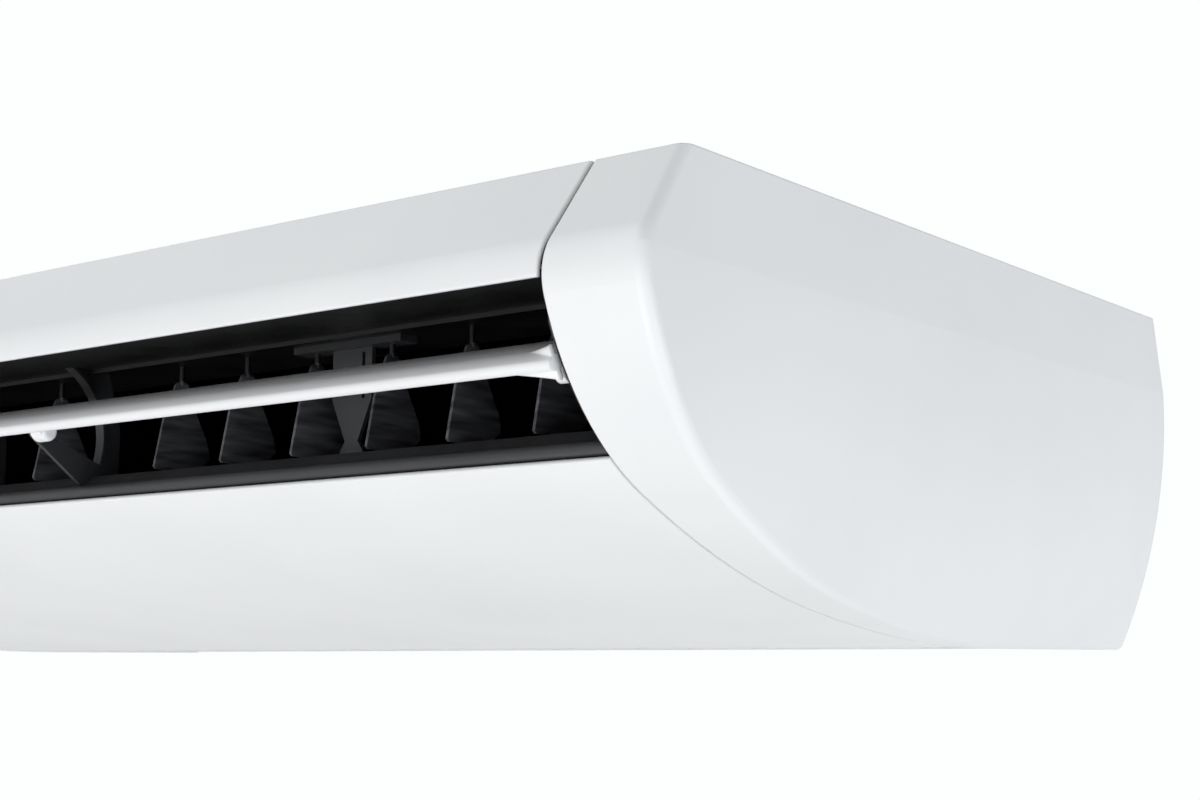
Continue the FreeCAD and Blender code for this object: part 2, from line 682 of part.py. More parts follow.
def lower_front_panel():
    last = angle_at(number("panel_end"))
    skin = along_x(strip_face(0.0, wall, mouth_low, last), -lower_half, lower_half)
    top_y, top_z = on_line(mouth_low)
    skin = rounded_skin(skin, lambda edge: all(abs(v.Z - top_z) < same_place for v in edge.Vertexes))
    lip = box((-lip_half, lip_half), (front + top_y + wall, front + top_y + number("panel_lip")),
              (top_z - number("panel_step") - wall, top_z - number("panel_step")))
    end_y, end_z = on_line(last)
    foot = box((-lip_half, lip_half), (front + end_y - wall, front + end_y - number("edge_gap")),
               (end_z + wall / 2, end_z + number("panel_foot")))
    return skin.fuse([lip, foot]).removeSplitter()


solid("upper_front_panel", upper_front_panel())
solid("lower_front_panel", lower_front_panel())

# Chassis end plates follow the line inside the covers; the cheeks close the ends of the outlet.


def end_plate():
    inset = number(FRAME_INSET)
    plate = along_x(casing_face(inset, -gauge, depth - gauge), number(PLATE_IN), number(PLATE_OUT))
    through = (number(PLATE_IN) - gauge, seam)
    hole = cylinder_x(number("pin_hole"), through, number(LOUVER_Y), -number("louver_drop"))
    return plate.cut(hole)


def cheek():
    plate = along_x(casing_face(number("cheek_inset"), 0.0, depth), number(CHEEK_IN), number(PLATE_IN))
    behind = number(f"{FRONT} + {NOSE} + mouth_lip + plate_gauge")
    window = box((number(CHEEK_IN), number(PLATE_IN)), (behind, front + number("floor_end")),
                 (number("-lip_drop - window_foot"), number(DECK_TOP)))
    pin = cylinder_x(number("louver_pin + run_gap"), (number(CHEEK_IN) - 1, seam), number(LOUVER_Y),
                     -number("louver_drop"))
    return plate.common(window).cut(pin)


solid("end_plate_right", end_plate())
solid("end_plate_left", flipped(end_plate()))
solid("outlet_cheek_right", cheek())
solid("outlet_cheek_left", flipped(cheek()))

# Top plate with pressed swages, rear panel with the pipe port and a cable hole.

body = start("top_plate")
top_loop = [(mirror_x(PLATE_OUT), at("top_setback")), (PLATE_OUT, at("top_setback")),
            (PLATE_OUT, f"{REAR} - plate_gauge"), (mirror_x(PLATE_OUT), f"{REAR} - plate_gauge")]
feature(body, "Pad", sketch(body, "XY_Plane", [top_loop]), "plate_gauge", reverse=True)
bead_x = ("-bead_pitch - bead_width / 2", "-bead_pitch + bead_width / 2")
bead_y = (at("coil_setback + coil_height / 2"), f"{REAR} - bead_width * 2")
first = brick(body, "Subtractive", bead_x, bead_y, ("-plate_gauge / 2", "plate_gauge"))
pattern(body, first, "X_Axis", "bead_pitch * 2", "3")

body = start("rear_panel")
low = FRAME_TOP
rear_loop = [(mirror_x(PLATE_OUT), low), (PLATE_OUT, low), (PLATE_OUT, "0"), (mirror_x(PLATE_OUT), "0")]
port_loop = [(mirror_x(PORT_OUT), "-port_low"), (mirror_x(PORT_IN), "-port_low"),
             (mirror_x(PORT_IN), "-port_top"), (mirror_x(PORT_OUT), "-port_top")]
cable = (f"({BOX_NEAR} + {BOX_FAR}) / 2", "-box_drop / 2", "cable_port")
rear_sketch = sketch(body, "XZ_Plane", [rear_loop, port_loop], [cable], f"-{REAR}")
feature(body, "Pad", rear_sketch, "plate_gauge")

# Hanger brackets: an angle with two slotless holes for the hanger rods, and a gusset at each end.


def hanger(name, side):
    body = start(name)
    web = [(PLATE_OUT, "-hanger_drop"), (f"{PLATE_OUT} + hanger_gauge", "-hanger_drop"),
           (f"{PLATE_OUT} + hanger_gauge", "-hanger_gauge"), (f"{PLATE_OUT} + hanger_reach", "-hanger_gauge"),
           (f"{PLATE_OUT} + hanger_reach", "0"), (PLATE_OUT, "0")]
    loop = [(f"{side} * ({u})", v) for u, v in web]
    feature(body, "Pad", sketch(body, "XZ_Plane", [loop]), "hanger_length", both=True)
    holes = [(f"{side} * {HANGER_X}", f"{way} * hanger_span_y / 2", "hanger_hole") for way in (1, -1)]
    feature(body, "Pocket", sketch(body, "XY_Plane", [], holes), "hanger_gauge * 2", both=True)
    corner = [(f"{PLATE_OUT} + hanger_gauge", "-hanger_gauge"),
              (f"{PLATE_OUT} + hanger_gauge + hanger_rib", "-hanger_gauge"),
              (f"{PLATE_OUT} + hanger_gauge", "-hanger_gauge - hanger_rib")]
    loop = [(f"{side} * ({u})", v) for u, v in corner]
    for way in ("-hanger_length / 2 + hanger_gauge", "0", "hanger_length / 2"):
        feature(body, "Pad", sketch(body, "XZ_Plane", [loop], lift=f"-({way})"), "hanger_gauge")
    return body


hanger("hanger_bracket_right", "1")
hanger("hanger_bracket_left", "-1")

# Upper air guide: a deck over the outlet with a rib, turned up behind the vanes to the top plate.

ROW = [step for step in range(-VANES_A_SIDE, VANES_A_SIDE + 1) if abs(step) != 1]
body = start("outlet_upper_guide")
deck_front = f"({FRONT} + {NOSE} + cover_wall + plate_gap)"
rise_top = "(-plate_gauge)"
deck_loop = [
    (deck_front, "-deck_drop"),
    (at("ledge_setback"), "-deck_drop"),
    (at("ledge_setback"), "-deck_drop - ledge_drop"),
    (at("ledge_setback + ledge_wall"), "-deck_drop - ledge_drop"),
    (at("ledge_setback + ledge_wall"), "-deck_drop"),
    (at("deck_end"), "-deck_drop"),
    (at("deck_end + deck_rise"), f"{rise_top} - guide_wall"),
    (at("deck_end + deck_rise * 2"), f"{rise_top} - guide_wall"),
    (at("deck_end + deck_rise * 2"), rise_top),
    (at("deck_end + deck_rise - guide_wall"), rise_top),
    (at("deck_end - guide_wall"), DECK_TOP),
    (deck_front, DECK_TOP),
]
feature(body, "Pad", sketch(body, "YZ_Plane", [deck_loop]), f"2 * {CHEEK_IN}", both=True)
holes = [(f"{step} * {PITCH}", VANE_Y, "vane_pin + run_gap") for step in ROW]
drill = sketch(body, "XY_Plane", [], holes, "-deck_drop - guide_wall")
feature(body, "Pocket", drill, "guide_wall * 3", reverse=True)

# Lower air guide: a rolled lip at the front, a flat floor under the vanes and a tail to the drain pan.

body = start("outlet_lower_guide")
floor_low = "(-floor_drop - guide_wall)"
floor_loop = [
    (at("lip_front"), "-lip_drop"),
    (at("lip_front"), "-lip_drop - lip_height"),
    (at("lip_front + lip_depth"), "-lip_drop - lip_height"),
    (at("lip_front + lip_depth"), "-lip_drop - guide_wall"),
    (at("floor_front + guide_wall"), floor_low),
    (at("floor_end"), floor_low),
    (at("floor_end + floor_tail"), f"{floor_low} - floor_tail"),
    (at("floor_end + floor_tail + guide_wall"), f"{floor_low} - floor_tail"),
    (at("floor_end + guide_wall / 2"), "-floor_drop"),
    (at("floor_front"), "-floor_drop"),
    (LIP_BACK, "-lip_drop"),
]
feature(body, "Pad", sketch(body, "YZ_Plane", [floor_loop]), f"2 * {CHEEK_IN}", both=True)
lip_y = number(at("lip_front"))
round_edges(body, lambda edge: all(abs(v.Y - lip_y) < near_zero for v in edge.Vertexes) and edge.Length > depth,
            "lip_roll")
holes = [(f"{step} * {PITCH}", VANE_Y, "vane_pin + run_gap") for step in ROW]
feature(body, "Pocket", sketch(body, "XY_Plane", [], holes, floor_low), "guide_wall * 4", both=True)

# Louver: a blade with a full rounded nose that thins to its rear edge, a flared ear and a pin at each
# end, and a pivot lug and pin beside each stay.

tilt = math.radians(number("louver_tilt"))
pivot_y, pivot_z = number(LOUVER_Y), -number("louver_drop")
stay_x = number(PITCH)
louver_half = number(CHEEK_IN) - number("louver_gap")


def blade_point(run, rise, x=0.0):
    """A point by its distances along the blade and off it, from the pivot."""
    return Vector(x, pivot_y + run * math.cos(tilt) - rise * math.sin(tilt),
                  pivot_z + run * math.sin(tilt) + rise * math.cos(tilt))


def louver():
    low, edge = number("louver_lift"), number("louver_edge")
    begin, end = -number("louver_front"), number("louver_rear")
    back, nose, bow = end - edge / 2, number("louver_nose"), number("louver_bow")
    shoulder = math.radians(number("louver_shoulder"))

    def round_spot(centre, radius, turn):
        """A point of a round, by its slope there."""
        return centre[0] - radius * math.sin(turn), centre[1] + radius * math.cos(turn)

    front_round = (begin + nose, low + nose)
    top_round = round_spot(front_round, nose - bow, shoulder)
    crest = top_round[1] + bow - low
    run, fall = back - top_round[0], crest - edge
    sag = (run * run + fall * fall) / (2 * fall)
    rear_round = (top_round[0], low + crest - sag)
    sink = -math.asin(run / sag)
    profile = [[round_spot(front_round, nose, turn) for turn in (math.pi, math.pi / 2, shoulder)],
               [round_spot(top_round, bow, turn) for turn in (shoulder, shoulder / 2, 0.0)],
               [round_spot(rear_round, sag, turn) for turn in (0.0, sink / 2, sink)],
               [(back, low + edge), (end, low + edge / 2), (back, low)],
               [(back, low), ((begin + end) / 2, low + number("louver_camber")), (begin + nose, low)]]
    edges = [Part.Arc(*[blade_point(*p, -louver_half) for p in three]).toShape() for three in profile]
    blade = Part.Face(Part.Wire(edges)).extrude(Vector(2 * louver_half, 0, 0))

    def slab(x, centre, long, thin, lean):
        """A rounded upright section of the ear."""
        u = Vector(0, math.cos(lean), math.sin(lean))
        w = Vector(0, -math.sin(lean), math.cos(lean))
        c = Vector(x, centre.y, centre.z)
        a, b = long / 2 - thin / 2, thin / 2
        ring = [Part.LineSegment(c - u * a - w * b, c + u * a - w * b).toShape(),
                Part.Arc(c + u * a - w * b, c + u * (a + b), c + u * a + w * b).toShape(),
                Part.LineSegment(c + u * a + w * b, c - u * a + w * b).toShape(),
                Part.Arc(c - u * a + w * b, c - u * (a + b), c - u * a - w * b).toShape()]
        return Part.Wire(ring)

    root = blade_point(begin + number("ear_root") / 2 + edge, low + crest / 2)
    lean = math.radians(number("ear_lean"))
    tip = spot(*on_line(math.radians(number("ear_slope")), number("ear_wall") / 2))
    far = louver_half
    near = far - number("ear_length")
    rings = [slab(near, root, number("ear_root"), edge, tilt),
             slab((near + far * 2) / 3, (root + tip) / 2, number("ear_root"), edge, (tilt + lean) / 2),
             slab(far, tip, number("ear_height"), number("ear_wall"), lean)]
    ear = Part.makeLoft(rings, True, False)
    inside = far - number("ear_wall") * 2
    reach = number(PLATE_OUT) + number("stepper_engage")
    pin = cylinder_x(number("louver_pin"), (inside, reach), pivot_y, pivot_z)
    stub = cylinder_x(number("louver_pin"), (inside, number(PLATE_IN)), pivot_y, pivot_z)
    web = cylinder_x(number("louver_pin") + edge, (inside, far), pivot_y, pivot_z)
    parts = [ear, flipped(ear), pin, flipped(stub), web, flipped(web)]
    inner = stay_x - number("stay_wall") / 2 - number("stay_room")
    outer = stay_x + number("stay_wall") / 2 + number("stay_room")
    round_lug, long = number("lug_radius"), number("lug_length")
    lug = cylinder_x(round_lug, (outer, outer + long), pivot_y, pivot_z)
    lug = lug.makeFillet(number("lug_round"), [e for e in lug.Edges if isinstance(e.Curve, Part.Circle)])
    root_box = Part.makeBox(long - number("lug_round"), 2 * round_lug, low + crest / 2)
    root_box.translate(Vector(outer + number("lug_round") / 2, -round_lug, 0))
    root_box.rotate(Vector(), Vector(1, 0, 0), number("louver_tilt"))
    root_box.translate(Vector(0, pivot_y, pivot_z))
    stay_pin = cylinder_x(number("stay_pin"), (inner, outer + long / 2), pivot_y, pivot_z)
    for piece in (lug, root_box, stay_pin):
        parts += [piece, flipped(piece)]
    return blade.fuse(parts).removeSplitter()


solid("louver", louver())

# Louver stays: plates across the outlet, hollowed for the sweep of the louver's rear edge, with an
# arm that reaches forward to an eye on the louver's pivot.


def stay():
    sweep = math.hypot(number("louver_rear"), number("louver_lift + louver_edge")) + number("stay_clear")
    top = -number("deck_drop")
    steep = min(top - pivot_z, sweep - number("stay_wall"))
    first = math.asin(steep / sweep)
    last = -math.radians(number("stay_turn"))

    def hollow(turn, out=0.0):
        far = sweep + out
        return Vector(0, pivot_y + far * math.cos(turn), pivot_z + far * math.sin(turn))

    eye = number("stay_eye")
    heel = Vector(0, number(LIP_BACK), -number("lip_drop"))
    arm = math.atan2(heel.z - pivot_z, heel.y - pivot_y)
    normal = Vector(0, -math.sin(arm), math.cos(arm))
    along = Vector(0, math.cos(arm), math.sin(arm))
    pivot = Vector(0, pivot_y, pivot_z)
    start_point = Vector(0, hollow(first).y, top)
    chain = [pivot - normal * eye, heel,
             Vector(0, front + number("floor_front"), -number("floor_drop")),
             Vector(0, front + number("stay_back"), -number("floor_drop")),
             Vector(0, front + number("stay_back"), -number("stay_knee")),
             Vector(0, front + number("stay_top"), top),
             start_point]
    edges = [Part.LineSegment(a, b).toShape() for a, b in zip(chain, chain[1:])]
    edges.append(Part.Arc(start_point, hollow((first + last) / 2), hollow(last)).toShape())
    edges.append(Part.LineSegment(hollow(last), pivot + normal * eye).toShape())
    edges.append(Part.Arc(pivot + normal * eye, pivot - along * eye, pivot - normal * eye).toShape())
    thick = number("stay_wall")
    plate = along_x(Part.Face(Part.Wire(edges)), stay_x - thick / 2, stay_x + thick / 2)
    bore = cylinder_x(number("stay_pin + run_gap"), (stay_x - thick, stay_x + thick), pivot_y, pivot_z)
    rim, wide = number("stay_rim_wall"), number("stay_rim")
    higher = math.asin(steep / (sweep + rim))
    ring = [Part.Arc(hollow(first), hollow((first + last) / 2), hollow(last)).toShape(),
            Part.LineSegment(hollow(last), hollow(last, rim)).toShape(),
            Part.Arc(hollow(last, rim), hollow((higher + last) / 2, rim), hollow(higher, rim)).toShape(),
            Part.LineSegment(hollow(higher, rim), hollow(first)).toShape()]
    band = along_x(Part.Face(Part.Wire(ring)), stay_x - wide / 2, stay_x + wide / 2)
    plate = plate.fuse(band).removeSplitter()
    ledge = front + number("ledge_setback")
    notch = box((0, 2 * stay_x), (ledge, ledge + number("ledge_wall")), (top - number("ledge_drop"), top))
    return plate.cut(bore).cut(notch)


solid("louver_stay_right", stay())
solid("louver_stay_left", flipped(stay()))

# Vanes: upright fins on two pivots, each with a crank arm and pin above the upper guide.


def across(edge):
    """Whether an edge runs through a plate from one side to the other, along X."""
    return abs(edge.Length - abs(edge.Vertexes[0].X - edge.Vertexes[-1].X)) < near_zero


def level(edge, z):
    """Whether both ends of an edge lie at this height."""
    return all(abs(v.Z - z) < near_zero for v in edge.Vertexes)


def vane(name, step):
    body = start(name)
    x = f"({step} * {PITCH})"
    fin = [("-vane_front", "-vane_tip_drop"), ("-vane_chin", "-vane_foot"), ("vane_waist", "-vane_foot"),
           ("vane_rear", "-vane_heel_drop"), ("vane_rear - vane_wall", "-vane_back_drop"),
           ("vane_waist", "-vane_waist_drop"), ("vane_crown", "-vane_top"), ("-vane_crown", "-vane_top"),
           ("-vane_throat", "-vane_waist_drop")]
    loop = [(f"{VANE_Y} + ({u})", v) for u, v in fin]
    feature(body, "Pad", sketch(body, "YZ_Plane", [loop], lift=x), "vane_wall", both=True)
    crown, waist = -number("vane_top"), -number("vane_waist_drop")
    round_edges(body, lambda edge: across(edge) and level(edge, crown), "vane_crown - vane_wall / 4")
    round_edges(body, lambda edge: across(edge) and level(edge, waist), "vane_round")
    rod(body, "Additive", "z", "vane_pin", x, VANE_Y, "-vane_foot - vane_stub", "vane_stub + vane_wall")
    rod(body, "Additive", "z", "vane_pin", x, VANE_Y, "-vane_top - vane_wall",
        f"{ARM_TOP} + vane_top + vane_wall")
    brick(body, "Additive", (f"{x} - arm_width / 2", f"{x} + arm_width / 2"),
          (f"{VANE_Y} - arm_width / 2", f"{VANE_Y} + arm_reach + arm_width / 2"), (ARM_LOW, ARM_TOP))
    rod(body, "Additive", "z", "link_pin", x, f"{VANE_Y} + arm_reach", ARM_LOW, PIN_LENGTH)


for place, step in enumerate(ROW, 1):
    vane(f"vane_{place:02d}", step)

# The link bar joins the crank arms; the vane motor's crank drives it between two vanes.

CRANK_STEP = 5.5
CRANK = f"({CRANK_STEP} * {PITCH})"
body = start("vane_link_bar")
link_y = f"({VANE_Y} + arm_reach)"
ends = f"({VANES_A_SIDE} * {PITCH} + link_end)"
bar_loop = [(mirror_x(ends), f"{link_y} - arm_width / 2"), (ends, f"{link_y} - arm_width / 2"),
            (ends, f"{link_y} + arm_width / 2"), (mirror_x(ends), f"{link_y} + arm_width / 2")]
holes = [(f"{step} * {PITCH}", link_y, "link_pin + run_gap") for step in ROW]
holes.append((CRANK, link_y, "link_pin + run_gap"))
feature(body, "Pad", sketch(body, "XY_Plane", [bar_loop], holes, LINK_LOW), "arm_wall")

body = start("vane_crank")
MOTOR_LOW = f"({LINK_TOP} + stepper_gap)"
brick(body, "Additive", (f"{CRANK} - arm_width / 2", f"{CRANK} + arm_width / 2"),
      (f"{VANE_Y} - arm_width / 2", f"{VANE_Y} + arm_reach + arm_width / 2"), (ARM_LOW, ARM_TOP))
rod(body, "Additive", "z", "vane_pin", CRANK, VANE_Y, ARM_LOW, f"{MOTOR_LOW} + stepper_engage - {ARM_LOW}")
rod(body, "Additive", "z", "link_pin", CRANK, f"{VANE_Y} + arm_reach", ARM_LOW, PIN_LENGTH)

# Step motors: a round can with two fixing ears and a socket for the part it turns.

body = start("vane_motor")
can_y = f"({VANE_Y} - stepper_shift)"
can = sketch(body, "XY_Plane", [], [(CRANK, can_y, "stepper_radius")], MOTOR_LOW)
feature(body, "Pad", can, "stepper_depth")
brick(body, "Additive", (f"{CRANK} - stepper_ear", f"{CRANK} + stepper_ear"),
      (f"{can_y} - stepper_tab", f"{can_y} + stepper_tab"), (MOTOR_LOW, f"{MOTOR_LOW} + stepper_gauge"))
prop = "stepper_ear - stepper_tab"
for way in ("-", ""):
    rod(body, "Additive", "z", "stepper_tab", f"{CRANK} + {way}({prop})", can_y, DECK_TOP,
        f"{MOTOR_LOW} - ({DECK_TOP}) + stepper_gauge")
socket = (CRANK, VANE_Y, "vane_pin + run_gap")
feature(body, "Pocket", sketch(body, "XY_Plane", [], [socket], MOTOR_LOW), "stepper_socket", reverse=True)

body = start("louver_motor")
can = (f"{LOUVER_Y} + can_back", "-louver_drop + can_up", "stepper_radius")
feature(body, "Pad", sketch(body, "YZ_Plane", [], [can], PLATE_OUT), "stepper_depth")
socket = (LOUVER_Y, "-louver_drop", "louver_pin + run_gap")
feature(body, "Pocket", sketch(body, "YZ_Plane", [], [socket], PLATE_OUT), "stepper_socket", reverse=True)

# Vane posts: T-shaped props between two vanes, with a slit plate, a cross bar under the upper guide
# and a foot on the floor of the lower guide.


POST_STEPS = (4, 5)


def post(name, side):
    body = start(name)
    middle = f"({side} * {sum(POST_STEPS) / 2} * {PITCH})"
    bar_low = "(-deck_drop - bar_wall)"
    plate = [("-post_half", bar_low), ("-post_half", "-post_waist"), ("-post_toe", "-post_toe_drop"),
             ("-post_foot", "-floor_drop + post_sole"), ("-post_foot", "-floor_drop"),
             ("post_foot", "-floor_drop"), ("post_foot", "-floor_drop + post_sole"),
             ("post_toe", "-post_toe_drop"), ("post_half", "-post_waist"), ("post_half", bar_low),
             ("bar_half", bar_low), ("bar_half", "-deck_drop"), ("-bar_half", "-deck_drop"),
             ("-bar_half", bar_low)]
    loop = [(f"{middle} + ({u})", v) for u, v in plate]
    slit = [(f"{middle} + slit_offset - slit_width / 2", "-post_waist"),
            (f"{middle} + slit_offset + slit_width / 2", "-post_waist"),
            (f"{middle} + slit_offset + slit_width / 2", f"{bar_low} - slit_width"),
            (f"{middle} + slit_offset - slit_width / 2", f"{bar_low} - slit_width")]
    place = f"-({VANE_Y} + post_depth / 2)"
    feature(body, "Pad", sketch(body, "XZ_Plane", [loop, slit], lift=place), "post_depth")
    brick(body, "Additive", (f"{middle} - bar_half", f"{middle} + bar_half"),
          (f"{VANE_Y} - bar_depth / 2", f"{VANE_Y} + bar_depth / 2"), (bar_low, "-deck_drop"))
    near = [f"{side} * {step} * {PITCH}" for step in POST_STEPS]
    holes = [(x, VANE_Y, "vane_pin + run_gap") for x in near]
    feature(body, "Pocket", sketch(body, "XY_Plane", [], holes, "-deck_drop"), "bar_wall * 4", both=True)


post("vane_post_right", "1")
post("vane_post_left", "-1")

# Bottom intake: a frame that follows the line, with two rimmed openings and hinge pins.

INTAKE_IN = "intake_mid"
INTAKE_OUT = f"({SEAM} - lower_seam - intake_side)"
HINGE_Z = f"({FRAME_FLOOR} + grille_wall / 2)"


def intake_frame():
    recess, thick = number("intake_recess"), number("frame_wall")
    first = angle_at(number("panel_end + plate_gap"))
    edges = path(recess, first, 0.0)
    back = path(recess + thick, first, 0.0)
    low, high = spot(*on_line(0.0, recess)), spot(*on_line(0.0, recess + thick))
    corners = [low, spot(depth, low.z), spot(depth, high.z), high]
    edges += [Part.LineSegment(a, b).toShape() for a, b in zip(corners, corners[1:])]
    lead = [spot(*on_line(first, inset)) for inset in (recess, recess + thick)]
    edges += back + [Part.LineSegment(*lead).toShape()]
    frame = along_x(Part.Face(Part.Wire(Part.__sortEdges__(edges))), -lower_half, lower_half)
    rim, y = number("rim_wall"), (front + number("intake_front"), front + number("intake_rear"))
    floor, top = number(FRAME_FLOOR), number(FRAME_TOP) + number("frame_rim")
    pins = []
    for way in (1, -1):
        x = (number(INTAKE_IN), number(INTAKE_OUT))
        rims = box((x[0] - rim, x[1] + rim), (y[0] - rim, y[1] + rim), (number(FRAME_TOP) - 0.5, top))
        hole = box(x, y, (floor - thick, top + 1))
        frame = frame.fuse(rims if way == 1 else flipped(rims)).cut(hole if way == 1 else flipped(hole))
        reach = number("hinge_reach")
        for low_x in (x[0] - rim / 2, x[1] + rim / 2 - reach):
            pin = cylinder_x(number("hinge_pin"), (low_x, low_x + reach), front + number("hinge_setback"),
                             number(HINGE_Z))
            pins.append(pin if way == 1 else flipped(pin))
    return frame.fuse(pins).removeSplitter()


solid("intake_frame", intake_frame())

# Intake grilles: slotted plates hung on the frame's pins, with recesses for the slide latches.

GRILLE_FRONT = at("intake_front + grille_gap")
GRILLE_REAR = at("intake_rear - grille_tail")
GRILLE_TOP = f"({FRAME_FLOOR} + grille_wall)"
GRILLE_IN = f"({INTAKE_IN} + grille_gap)"
GRILLE_OUT = f"({INTAKE_OUT} - grille_gap)"
GRILLE_MID = f"(({GRILLE_IN} + {GRILLE_OUT}) / 2)"
LATCH_Y = f"({GRILLE_FRONT} + grille_apron / 2)"


def grille(name, side):
    body = start(name)

    def across(low, high):
        return (low, high) if side == "1" else (mirror_x(high), mirror_x(low))

    brick(body, "Additive", across(GRILLE_IN, GRILLE_OUT), (GRILLE_FRONT, GRILLE_REAR),
          (FRAME_FLOOR, GRILLE_TOP))
    left, right = across(f"{GRILLE_IN} + grille_border", f"{GRILLE_OUT} - grille_border")
    cell = f"((({right}) - ({left}) - grille_rib * 3) / 4)"
    near, far = f"{GRILLE_FRONT} + grille_apron", f"{GRILLE_FRONT} + grille_apron + slat_gap"
    loops = []
    for step in range(4):
        low = f"{left} + {step} * ({cell} + grille_rib)"
        loops.append([(low, near), (f"{low} + {cell}", near), (f"{low} + {cell}", far), (low, far)])
    slots = sketch(body, "XY_Plane", loops, lift=FRAME_FLOOR)
    row = feature(body, "Pocket", slots, "grille_wall * 4", both=True)
    pattern(body, row, "Y_Axis", "slat_pitch * (slot_rows - 1)", "slot_rows")
    for edge in (f"{GRILLE_IN} - grille_gap", f"{GRILLE_OUT} - hinge_reach"):
        x = across(edge, f"{edge} + hinge_reach + grille_gap")[0]
        rod(body, "Subtractive", "x", "hinge_pin + run_gap", x, at("hinge_setback"), HINGE_Z,
            "hinge_reach + grille_gap")
    for way in ("-", ""):
        x = f"{side} * {GRILLE_MID} + {way}(latch_offset)"
        thumb_half, thumb_deep = "latch_width / 2 + latch_room", "latch_depth / 2 + latch_room"
        brick(body, "Subtractive", (f"{x} - ({thumb_half})", f"{x} + {thumb_half}"),
              (f"{LATCH_Y} - ({thumb_deep}) - latch_travel", f"{LATCH_Y} + {thumb_deep}"),
              (f"{FRAME_FLOOR} - latch_thumb", f"{FRAME_FLOOR} + latch_thumb + latch_room"))
        brick(body, "Subtractive", (f"{x} - latch_stem - latch_room", f"{x} + latch_stem + latch_room"),
              (f"{LATCH_Y} - latch_stem - latch_travel - latch_room", f"{LATCH_Y} + latch_stem + latch_room"),
              (FRAME_FLOOR, f"{GRILLE_TOP} + latch_room"))


def latch(name, side, way):
    """Stored slid open: the tongue clears the rim until the latch is slid forward."""
    body = start(name)
    x = f"({side} * {GRILLE_MID} + {way} * latch_offset)"
    brick(body, "Additive", (f"{x} - latch_width / 2", f"{x} + latch_width / 2"),
          (f"{LATCH_Y} - latch_depth / 2", f"{LATCH_Y} + latch_depth / 2"),
          (FRAME_FLOOR, f"{FRAME_FLOOR} + latch_thumb"))
    brick(body, "Additive", (f"{x} - latch_stem", f"{x} + latch_stem"),
          (f"{LATCH_Y} - latch_stem", f"{LATCH_Y} + latch_stem"),
          (FRAME_FLOOR, f"{GRILLE_TOP} + latch_room + latch_tongue"))
    tongue_low = f"({GRILLE_TOP} + latch_room + frame_rim - grille_wall + frame_wall)"
    brick(body, "Additive", (f"{x} - latch_width / 2", f"{x} + latch_width / 2"),
          (f"{at('intake_front')} + latch_room", f"{LATCH_Y} + latch_stem"),
          (f"{GRILLE_TOP} + latch_room", f"{GRILLE_TOP} + latch_room + latch_tongue"))
    brick(body, "Subtractive", (f"{x} - latch_width / 6", f"{x} + latch_width / 6"),
          (f"{LATCH_Y} - latch_depth / 6", f"{LATCH_Y} + latch_depth / 6"),
          (FRAME_FLOOR, f"{FRAME_FLOOR} + latch_thumb / 2"))


def dust_filter(name, side):
    body = start(name)
    low, high = f"{GRILLE_IN} + filter_inset", f"{GRILLE_OUT} - filter_inset"
    left, right = (low, high) if side == "1" else (mirror_x(high), mirror_x(low))
    base = f"({GRILLE_TOP})"
    near, far = at("filter_front"), at("filter_rear")
    outer = [(left, near), (right, near), (right, far), (left, far)]
    cell = f"((({right}) - ({left}) - filter_bar * 5) / 4)"
    deep = f"(({far} - {near} - filter_bar * 3) / 2)"
    loops = [outer]
    for column in range(4):
        for line in range(2):
            u = f"({left} + filter_bar + {column} * ({cell} + filter_bar))"
            v = f"({near} + filter_bar + {line} * ({deep} + filter_bar))"
            far_u, far_v = f"{u} + {cell}", f"{v} + {deep}"
            loops.append([(u, v), (far_u, v), (far_u, far_v), (u, far_v)])
    feature(body, "Pad", sketch(body, "XY_Plane", loops, lift=base), "filter_wall")
    lift = f"{base} + filter_wall / 2"
    feature(body, "Pad", sketch(body, "XY_Plane", [outer], lift=lift), "filter_net")


for side, word in (("1", "right"), ("-1", "left")):
    grille(f"intake_grille_{word}", side)
    dust_filter(f"filter_{word}", side)
    for way, place in (("1", "a"), ("-1", "b")):
        latch(f"grille_latch_{word}_{place}", side, way)

# Coil: a slanted fin pack between two end plates, with one tube that winds through both.

lean = number("coil_angle")
coil_y, coil_z = front + number("coil_setback"), -number("coil_drop")


def leaned(x, run, rise):
    """A point of the coil, by its distances along the unit, along the lean and through the rows."""
    turn = math.radians(lean)
    return Vector(x, coil_y + run * math.cos(turn) - rise * math.sin(turn),
                  coil_z + run * math.sin(turn) + rise * math.cos(turn))


body = start("coil_fins")
fin_loop = [("-coil_height / 2", "-coil_depth / 2"), ("coil_height / 2", "-coil_depth / 2"),
            ("coil_height / 2", "coil_depth / 2"), ("-coil_height / 2", "coil_depth / 2")]
TUBES = 8
ROWS = (-1, 1)
tube_spots = [(f"({index} - {(TUBES - 1) / 2}) * tube_pitch", f"{row} * coil_depth / 4")
              for row in ROWS for index in range(TUBES)]
collars = [(u, v, "tube_radius + run_gap") for u, v in tube_spots]
feature(body, "Pad", sketch(body, "YZ_Plane", [fin_loop], collars), f"{COIL_HALF} * 2", both=True)
body.Placement = Placement(Vector(0, coil_y, coil_z), Rotation(Vector(1, 0, 0), lean))
body.setExpression("Placement.Base.y", bind(at("coil_setback")))
body.setExpression("Placement.Base.z", bind("-coil_drop"))

body = start("coil_end_plates")


def leaned_spot(run, rise):
    """A place in the coil, by its distances along the lean and through the rows."""
    return (f"{at('coil_setback')} + ({run}) * cos(coil_angle) - ({rise}) * sin(coil_angle)",
            f"-coil_drop + ({run}) * sin(coil_angle) + ({rise}) * cos(coil_angle)")


